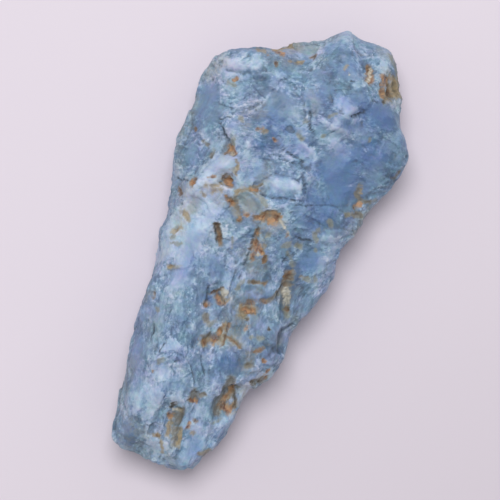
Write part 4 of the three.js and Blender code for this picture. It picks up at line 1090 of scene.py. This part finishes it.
def face_looks(tree, place, chip_size):
    """How pale and how high the chips' faces are, how patchy the smallest are, and which way streaks run."""
    pale = 0.0
    height = 0.0
    patchy = 0.0
    for share, amount, lean, rise in FACES:
        size = share * chip_size
        spot, chip = chip_pattern(tree, place, size)[1:]
        way, tilt = lean_of(tree, spot, chip)
        x, y, z = add_node(tree, SPLIT, way).outputs
        pale = add_node(tree, MATH, x, amount, pale, operation="MULTIPLY_ADD")
        height = add_node(tree, MATH, tilt, lean * size, height, operation="MULTIPLY_ADD")
        height = add_node(tree, MATH, z, rise * MM, height, operation="MULTIPLY_ADD")
        if share in PATCHY_SHARES:
            patchy = add_node(tree, MATH, y, patchy, operation="ADD")
        if share == STREAK_SHARE:
            given = (way, (STREAK_STRAY,) * 3, grain_way(tree, place))
            streak_way = add_node(tree, VECTOR_MATH, *given, operation="MULTIPLY_ADD")
            streak_way = add_node(tree, VECTOR_MATH, streak_way, operation="NORMALIZE")
        # thin lines of painted highlight and painted shade along the chips' edges
        if share in EDGE_SHARES:
            edge = add_node(tree, CELLS, spot, 1.0, feature="DISTANCE_TO_EDGE")
            edge = add_node(tree, MAP_RANGE, edge, EDGE_WIDTH / share, 0.0, 0.0, EDGE_LIGHT_AND_SHADE)
            pale = add_node(tree, MATH, edge, z, pale, operation="MULTIPLY_ADD")
    return pale, height, patchy, streak_way


def streaks_along(tree, place, way):
    """Fine parallel streaks over a face, from -0.5 to 0.5."""
    normal = add_node(tree, "ShaderNodeTexCoord").outputs["Normal"]
    across = add_node(tree, VECTOR_MATH, normal, way, operation="CROSS_PRODUCT")
    lines = []
    for axis, size in zip((across, way), STREAK):
        far = add_node(tree, VECTOR_MATH, place, axis, operation="DOT_PRODUCT")
        lines.append(add_node(tree, MATH, far, size * MM, operation="DIVIDE"))
    lines = add_node(tree, "ShaderNodeCombineXYZ", *lines)
    streak = add_node(tree, NOISE, lines, 1.0, 2.0)
    return add_node(tree, MATH, streak, 0.5, operation="SUBTRACT")


def noise_over(tree, place, size, *more):
    """Noise whose size is in millimetres, from 0 to 1."""
    return add_node(tree, NOISE, place, 1 / (size * MM), *more)


def waxy_opal(look):
    """Common opal, freshly broken: opaque and waxy, each face its own blue, with iron in its breaks."""
    finish = bpy.data.materials.new("waxy_blue_opal")
    finish.use_nodes = True
    tree = finish.node_tree
    tree.nodes.clear()
    place = add_node(tree, "ShaderNodeAttribute", attribute_name="place").outputs["Vector"]
    marks = {}
    names = ("tone", "calm", "navy", "lavender", "window", "haze", "crack", *HOLLOW_ROUNDS, *STAIN_LOOKS)
    for name in names:
        marks[name] = add_node(tree, "ShaderNodeAttribute", attribute_name=name).outputs["Fac"]

    # Each chip's face has its own blue and its streaks, with thin lines of painted highlight and shade along its
    # edges, and the smallest faces lean only in the light.
    pale, height, patchy, streak_way = face_looks(tree, place, look.chip_size)
    streak = streaks_along(tree, place, streak_way)
    pale = add_node(tree, MATH, streak, STREAK_TONE, pale, operation="MULTIPLY_ADD")
    height = add_node(tree, MATH, streak, STREAK_DEPTH * MM, height, operation="MULTIPLY_ADD")

    # Scattered specks: dark grains, and pale ones that are painted glints.
    speck = add_node(tree, CELLS, place, 1 / (SPECK_SIZE * MM)).outputs
    kind = add_node(tree, SPLIT, speck["Color"])
    kind = add_node(tree, MATH, kind, 0.5, operation="SUBTRACT")
    shows = (*SPECK_ENDS, 0.0, SPECK_AND_GLINT_TONE)
    dot = add_node(tree, MAP_RANGE, speck["Distance"], *shows, interpolation_type="SMOOTHSTEP")
    pale = add_node(tree, MATH, kind, dot, pale, operation="MULTIPLY_ADD")

    # Smooth places keep only a little of all that.
    lively = add_node(tree, MATH, marks["calm"], -CALM_TONE, 1.0, operation="MULTIPLY_ADD")
    pale = add_node(tree, MATH, pale, lively, operation="MULTIPLY")
    height = add_node(tree, MATH, height, lively, operation="MULTIPLY")

    # Clouds, the strokes, and painted highlight on the ridges over painted shade in the hollows.
    for size, detail, amount in CLOUDS:
        cloud = noise_over(tree, place, size, detail)
        cloud = add_node(tree, MATH, cloud, 0.5, operation="SUBTRACT")
        pale = add_node(tree, MATH, cloud, amount, pale, operation="MULTIPLY_ADD")
    for name, amount in PALENESS.items():
        pale = add_node(tree, MATH, marks[name], amount, pale, operation="MULTIPLY_ADD")
    pale = add_node(tree, MAP_RANGE, pale, -1.0, 1.0)
    colour = add_node(tree, "ShaderNodeValToRGB", pale)
    stops = colour.color_ramp.elements
    stops[0].color = (*look.deep, 1.0)
    stops[1].color = (*look.milk, 1.0)
    for stop, shade in zip(BLUE_STOPS, (look.mid, look.pale)):
        stops.new(stop).color = (*shade, 1.0)

    # Broad drifts of hue by stroke, and small ones every way.
    for name, shade in (("lavender", look.lavender), ("navy", look.navy), ("window", look.window)):
        amount = add_node(tree, MATH, marks[name], HUE_COVER[name], operation="MULTIPLY")
        colour = add_node(tree, MIX, amount, colour, (*shade, 1.0), data_type="RGBA")
    for size, amount in HUE_SIZES:
        hues = noise_over(tree, place, size, 2.0).outputs["Color"]
        colour = add_node(tree, MIX, amount, colour, hues, data_type="RGBA", blend_type="OVERLAY")

    # Thin hazes of iron, and a darker grey in the small hollows.
    fray = noise_over(tree, place, *FRAY)
    fray = add_node(tree, MATH, patchy, FRAY_PATCHES, fray, operation="MULTIPLY_ADD")
    haze = add_node(tree, MATH, marks["haze"], fray, operation="MULTIPLY")
    haze = add_node(tree, MAP_RANGE, haze, *HAZE_SHOWS, 0.0, HAZE_COVER)
    colour = add_node(tree, MIX, haze, colour, (*look.wash, 1.0), data_type="RGBA")
    hollow_grey = add_node(tree, MAP_RANGE, marks["hollow"], *HOLLOW_GREY_SHOWS)
    hollow_grey = add_node(tree, MATH, hollow_grey, fray, operation="MULTIPLY")
    colour = add_node(tree, MIX, hollow_grey, colour, (*look.hollow_grey, 1.0), data_type="RGBA")

    # Stains, each frayed at its edge with a wash round it, and thick and thin in mottles inside.
    mottle = noise_over(tree, place, *MOTTLE)
    mottle = add_node(tree, MATH, streak, MOTTLE_STREAKS, mottle, operation="MULTIPLY_ADD")
    mottle = add_node(tree, MATH, patchy, MOTTLE_PATCHES, mottle, operation="MULTIPLY_ADD")
    dirt = 0.0
    for name, (thick, thin, cover, _) in STAIN_LOOKS.items():
        mark = marks[name]
        edge = add_node(tree, MATH, fray, STAIN_FRAY, mark, operation="MULTIPLY_ADD")
        shows = (*STAIN_SHOWS, 0.0, cover)
        amount = add_node(tree, MAP_RANGE, edge, *shows, interpolation_type="SMOOTHSTEP")
        near = add_node(tree, MAP_RANGE, mark, *STAIN_NEAR)
        amount = add_node(tree, MATH, amount, near, operation="MULTIPLY")
        wash = add_node(tree, MATH, edge, mark, operation="MULTIPLY")
        shows = (*WASH_SHOWS, 0.0, WASH_COVER)
        wash = add_node(tree, MAP_RANGE, wash, *shows, interpolation_type="SMOOTHSTEP")
        colour = add_node(tree, MIX, wash, colour, (*look.wash, 1.0), data_type="RGBA")
        depth = add_node(tree, MATH, mottle, STAIN_MOTTLE, mark, operation="MULTIPLY_ADD")
        depth = add_node(tree, MAP_RANGE, depth, *THICK_SHOWS)
        inside = add_node(tree, MIX, depth, (*linear(thin), 1.0), (*linear(thick), 1.0), data_type="RGBA")
        colour = add_node(tree, MIX, amount, colour, inside, data_type="RGBA")
        dirt = add_node(tree, MATH, dirt, amount, operation="MAXIMUM")

    crack = add_node(tree, MAP_RANGE, fray, *CRACK_SHOWS, 0.0, CRACK_COVER)
    crack = add_node(tree, MATH, marks["crack"], crack, operation="MULTIPLY")
    colour = add_node(tree, MIX, crack, colour, (*look.crack, 1.0), data_type="RGBA")

    # A waxy sheen that turns half matte in patches and on stains, and the finest grain.
    sheen = noise_over(tree, place, SHEEN_SIZE, 2.0)
    rough = add_node(tree, MAP_RANGE, sheen, *SHEEN_SHARE, *SHEEN_ROUGH)
    rough = add_node(tree, MATH, dirt, DIRT_ROUGH, rough, operation="MULTIPLY_ADD")
    grain = noise_over(tree, place, *CRUMBS)
    height = add_node(tree, MATH, grain, CRUMB_DEPTH * MM, height, operation="MULTIPLY_ADD")
    bump = add_node(tree, "ShaderNodeBump", {"Strength": 1.0, "Distance": 1.0, "Height": height})
    waxy = {
        "Base Color": colour,
        "Roughness": rough,
        "Normal": bump,
        "IOR": 1.45,
        "Subsurface Weight": 0.12,
        "Subsurface Radius": (0.6, 0.8, 1.0),
        "Subsurface Scale": 1.5 * MM,
    }
    shader = add_node(tree, "ShaderNodeBsdfPrincipled", waxy)
    add_node(tree, "ShaderNodeOutputMaterial", shader)
    return finish


def matte_card(stage):
    """Matte card: pale lilac grey without gloss, so the stone alone catches the light; painted shade dims it away
    from the key.
    """
    finish = bpy.data.materials.new("matte_card")
    finish.use_nodes = True
    tree = finish.node_tree
    shader = tree.nodes["Principled BSDF"]
    here = add_node(tree, "ShaderNodeTexCoord").outputs["Object"]
    size, amount = CARD_CLOUD
    cloud = noise_over(tree, here, size, 1.0)
    far = add_node(tree, VECTOR_MATH, here, CARD_PAINTED_FALLOFF, operation="DOT_PRODUCT")
    far = add_node(tree, MATH, cloud, amount, far, operation="MULTIPLY_ADD")
    pale, dark = ((*(share * part for part in stage.card), 1.0) for share in CARD_PAINTED_SHADES)
    painted_card_shade = add_node(tree, MIX, far, pale, dark, data_type="RGBA")
    tree.links.new(painted_card_shade.outputs[2], shader.inputs["Base Color"])
    shader.inputs["Roughness"].default_value = 0.9
    return finish


# ---- settings, operators and panel ------------------------------------------------------------------


def hex_prop(name, description, hex_colour):
    """A colour setting whose default is an sRGB hex value."""
    return FloatVectorProperty(
        name=name,
        description=description,
        subtype="COLOR",
        size=3,
        min=0.0,
        max=1.0,
        default=linear(hex_colour),
    )


class OpalSettings(bpy.types.PropertyGroup):
    """How the stone is broken and coloured."""

    flake_step: FloatProperty(
        name="Flake step",
        description="Height of the edge of a flake",
        default=0.3 * MM,
        min=0.0,
        max=2.0 * MM,
        unit="LENGTH",
    )
    chip_size: FloatProperty(
        name="Chip size",
        description="Width of the largest chips of the break",
        default=5.0 * MM,
        min=1.0 * MM,
        max=12.0 * MM,
        unit="LENGTH",
    )
    chip_relief: FloatProperty(
        name="Chip relief",
        description="How far the chips stand out of the form, as a share of their usual relief",
        default=0.6,
        min=0.0,
        max=3.0,
        subtype="FACTOR",
    )
    grain_depth: FloatProperty(
        name="Grain depth",
        description="Depth of the fine grain over the chips",
        default=0.1 * MM,
        min=0.0,
        max=1.0 * MM,
        unit="LENGTH",
    )
    rounding: IntProperty(
        name="Rounding",
        description="How many times the packed form's flat facets are softened before it is broken",
        default=4,
        min=0,
        max=40,
    )
    seed: IntProperty(
        name="Seed", description="How the strokes waver and which stains the hidden sides have", default=11, min=0
    )
    # Painted shade in the hollows reaches towards the deep blue, and painted highlight on the ridges towards the
    # pale.
    deep: hex_prop("Deep blue", "Colour of the hollows", "#526a86")
    mid: hex_prop("Blue", "Colour of most of the stone", "#728caa")
    pale: hex_prop("Pale blue", "Colour of the bands and ridges", "#96acc7")
    milk: hex_prop("Milk blue", "Colour of the palest lumps", "#bdcadd")
    lavender: hex_prop("Lavender", "Colour that the blue leans to in places", "#929ec4")
    navy: hex_prop("Navy", "Colour of the purer blue places", "#4f73ab")
    window: hex_prop("Window", "Colour of the clear, grey-green places", "#7c8f95")
    wash: hex_prop("Wash", "Colour of the thin wash of iron round the stains", "#989078")
    # a darker grey laid in the small hollows
    hollow_grey: hex_prop("Hollow grey", "Colour of the dirt that lies in small hollows", "#5b6470")
    crack: hex_prop("Crack", "Colour inside the hairline cracks", "#344250")


class StageSettings(bpy.types.PropertyGroup):
    """The table, the lights and the camera."""

    card: hex_prop("Table", "Colour of the table's card", "#d8cfd9")
    key_power: FloatProperty(
        name="Key power", description="Power of the large soft light", default=3.45, min=0.0, unit="POWER"
    )
    fill: FloatProperty(
        name="Fill", description="Strength of the even light from all round", default=0.5, min=0.0
    )
    view_width: FloatProperty(
        name="View width",
        description="How wide a strip of the stone the camera sees at its rim",
        default=VIEW_WIDTH * MM,
        min=10 * MM,
        unit="LENGTH",
    )
    turn: FloatProperty(
        name="Turn",
        description="How far the camera is turned from the stone's length",
        default=math.radians(25),
        subtype="ANGLE",
    )


class OPAL_OT_stone(bpy.types.Operator):
    """Makes the stone over its packed form"""

    bl_idname = "opal.stone"
    bl_label = "Rough Opal"

    def execute(self, context):
        look = context.scene.opal
        mesh = fine_copy()
        mark_strokes(mesh, look.seed)
        stone = bpy.data.objects.new("rough_opal_looks", mesh)
        context.scene.collection.objects.link(stone)
        tree, inputs = broken_surface()
        surface = stone.modifiers.new("Broken surface", "NODES")
        surface.node_group = tree
        given = {
            "Flake step": look.flake_step,
            "Chip size": look.chip_size,
            "Chip relief": look.chip_relief,
            "Grain depth": look.grain_depth,
            "Rounding": look.rounding,
            "Lowest corner": LOW,
            "Highest corner": HIGH,
            "Finish": waxy_opal(look),
        }
        for name, value in given.items():
            surface[inputs[name]] = value
        context.view_layer.update()
        broken = bpy.data.meshes.new_from_object(stone.evaluated_get(context.evaluated_depsgraph_get()))
        stone.modifiers.remove(surface)
        stone.data = broken
        bpy.data.meshes.remove(mesh)
        broken.name = "rough_opal_looks"
        broken.shade_smooth()
        lay_out_charts(broken)
        if len(broken.polygons) > MOST_TRIANGLES:
            raise RuntimeError(f"the stone has {len(broken.polygons)} triangles")
        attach(stone, "root")
        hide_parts("rough_opal")
        return {"FINISHED"}


class OPAL_OT_stage(bpy.types.Operator):
    """Makes the table, the lights and the camera"""

    bl_idname = "opal.stage"
    bl_label = "Stage"

    def execute(self, context):
        stage = context.scene.opal_stage
        reach = TABLE_SIDE / 2
        mesh = bpy.data.meshes.new("table")
        corners = ((-reach, -reach), (reach, -reach), (reach, reach), (-reach, reach))
        mesh.from_pydata([(x, y, LOW.z) for x, y in corners], [], [(0, 1, 2, 3)])
        mesh.materials.append(matte_card(stage))
        table = bpy.data.objects.new("table", mesh)
        context.scene.collection.objects.link(table)

        key = bpy.data.lights.new("key", "AREA")
        key.shape = "DISK"
        key.size = KEY_SIZE
        key.energy = stage.key_power
        key_lamp = bpy.data.objects.new("key", key)
        key_lamp.location = KEY_AT
        key_lamp.rotation_euler = (-Vector(KEY_AT)).to_track_quat("-Z", "Y").to_euler()
        context.scene.collection.objects.link(key_lamp)

        world = bpy.data.worlds.new("studio")
        world.use_nodes = True
        sky = world.node_tree.nodes["Background"]
        sky.inputs["Color"].default_value = (1.0, 1.0, 1.0, 1.0)
        sky.inputs["Strength"].default_value = stage.fill
        context.scene.world = world

        camera = bpy.data.cameras.new("camera")
        camera.lens = LENS
        camera.sensor_width = SENSOR
        eye = bpy.data.objects.new("camera", camera)
        eye.location = (VIEW_AT[0] * MM, VIEW_AT[1] * MM, RIM * MM + stage.view_width * LENS / SENSOR)
        eye.rotation_euler = (0.0, 0.0, stage.turn)
        context.scene.collection.objects.link(eye)
        context.scene.camera = eye
        context.scene.view_settings.view_transform = "Standard"
        return {"FINISHED"}


class VIEW3D_PT_opal(bpy.types.Panel):
    """Sizes and colours of the opal and its stage"""

    bl_label = "Rough Blue Opal"
    bl_space_type = "VIEW_3D"
    bl_region_type = "UI"
    bl_category = "Opal"

    def draw(self, context):
        scene = context.scene
        for settings, operator in ((scene.opal, "opal.stone"), (scene.opal_stage, "opal.stage")):
            column = self.layout.column()
            for name in settings.bl_rna.properties.keys():
                if name not in ("rna_type", "name"):
                    column.prop(settings, name)
            column.operator(operator)


CLASSES = (OpalSettings, StageSettings, OPAL_OT_stone, OPAL_OT_stage, VIEW3D_PT_opal)


def register():
    for kind in CLASSES:
        bpy.utils.register_class(kind)
    bpy.types.Scene.opal = PointerProperty(type=OpalSettings)
    bpy.types.Scene.opal_stage = PointerProperty(type=StageSettings)


def unregister():
    del bpy.types.Scene.opal
    del bpy.types.Scene.opal_stage
    for kind in reversed(CLASSES):
        bpy.utils.unregister_class(kind)


def main():
    register()
    bpy.ops.opal.stone()
    bpy.ops.opal.stage()


if __name__ == "__main__":
    main()
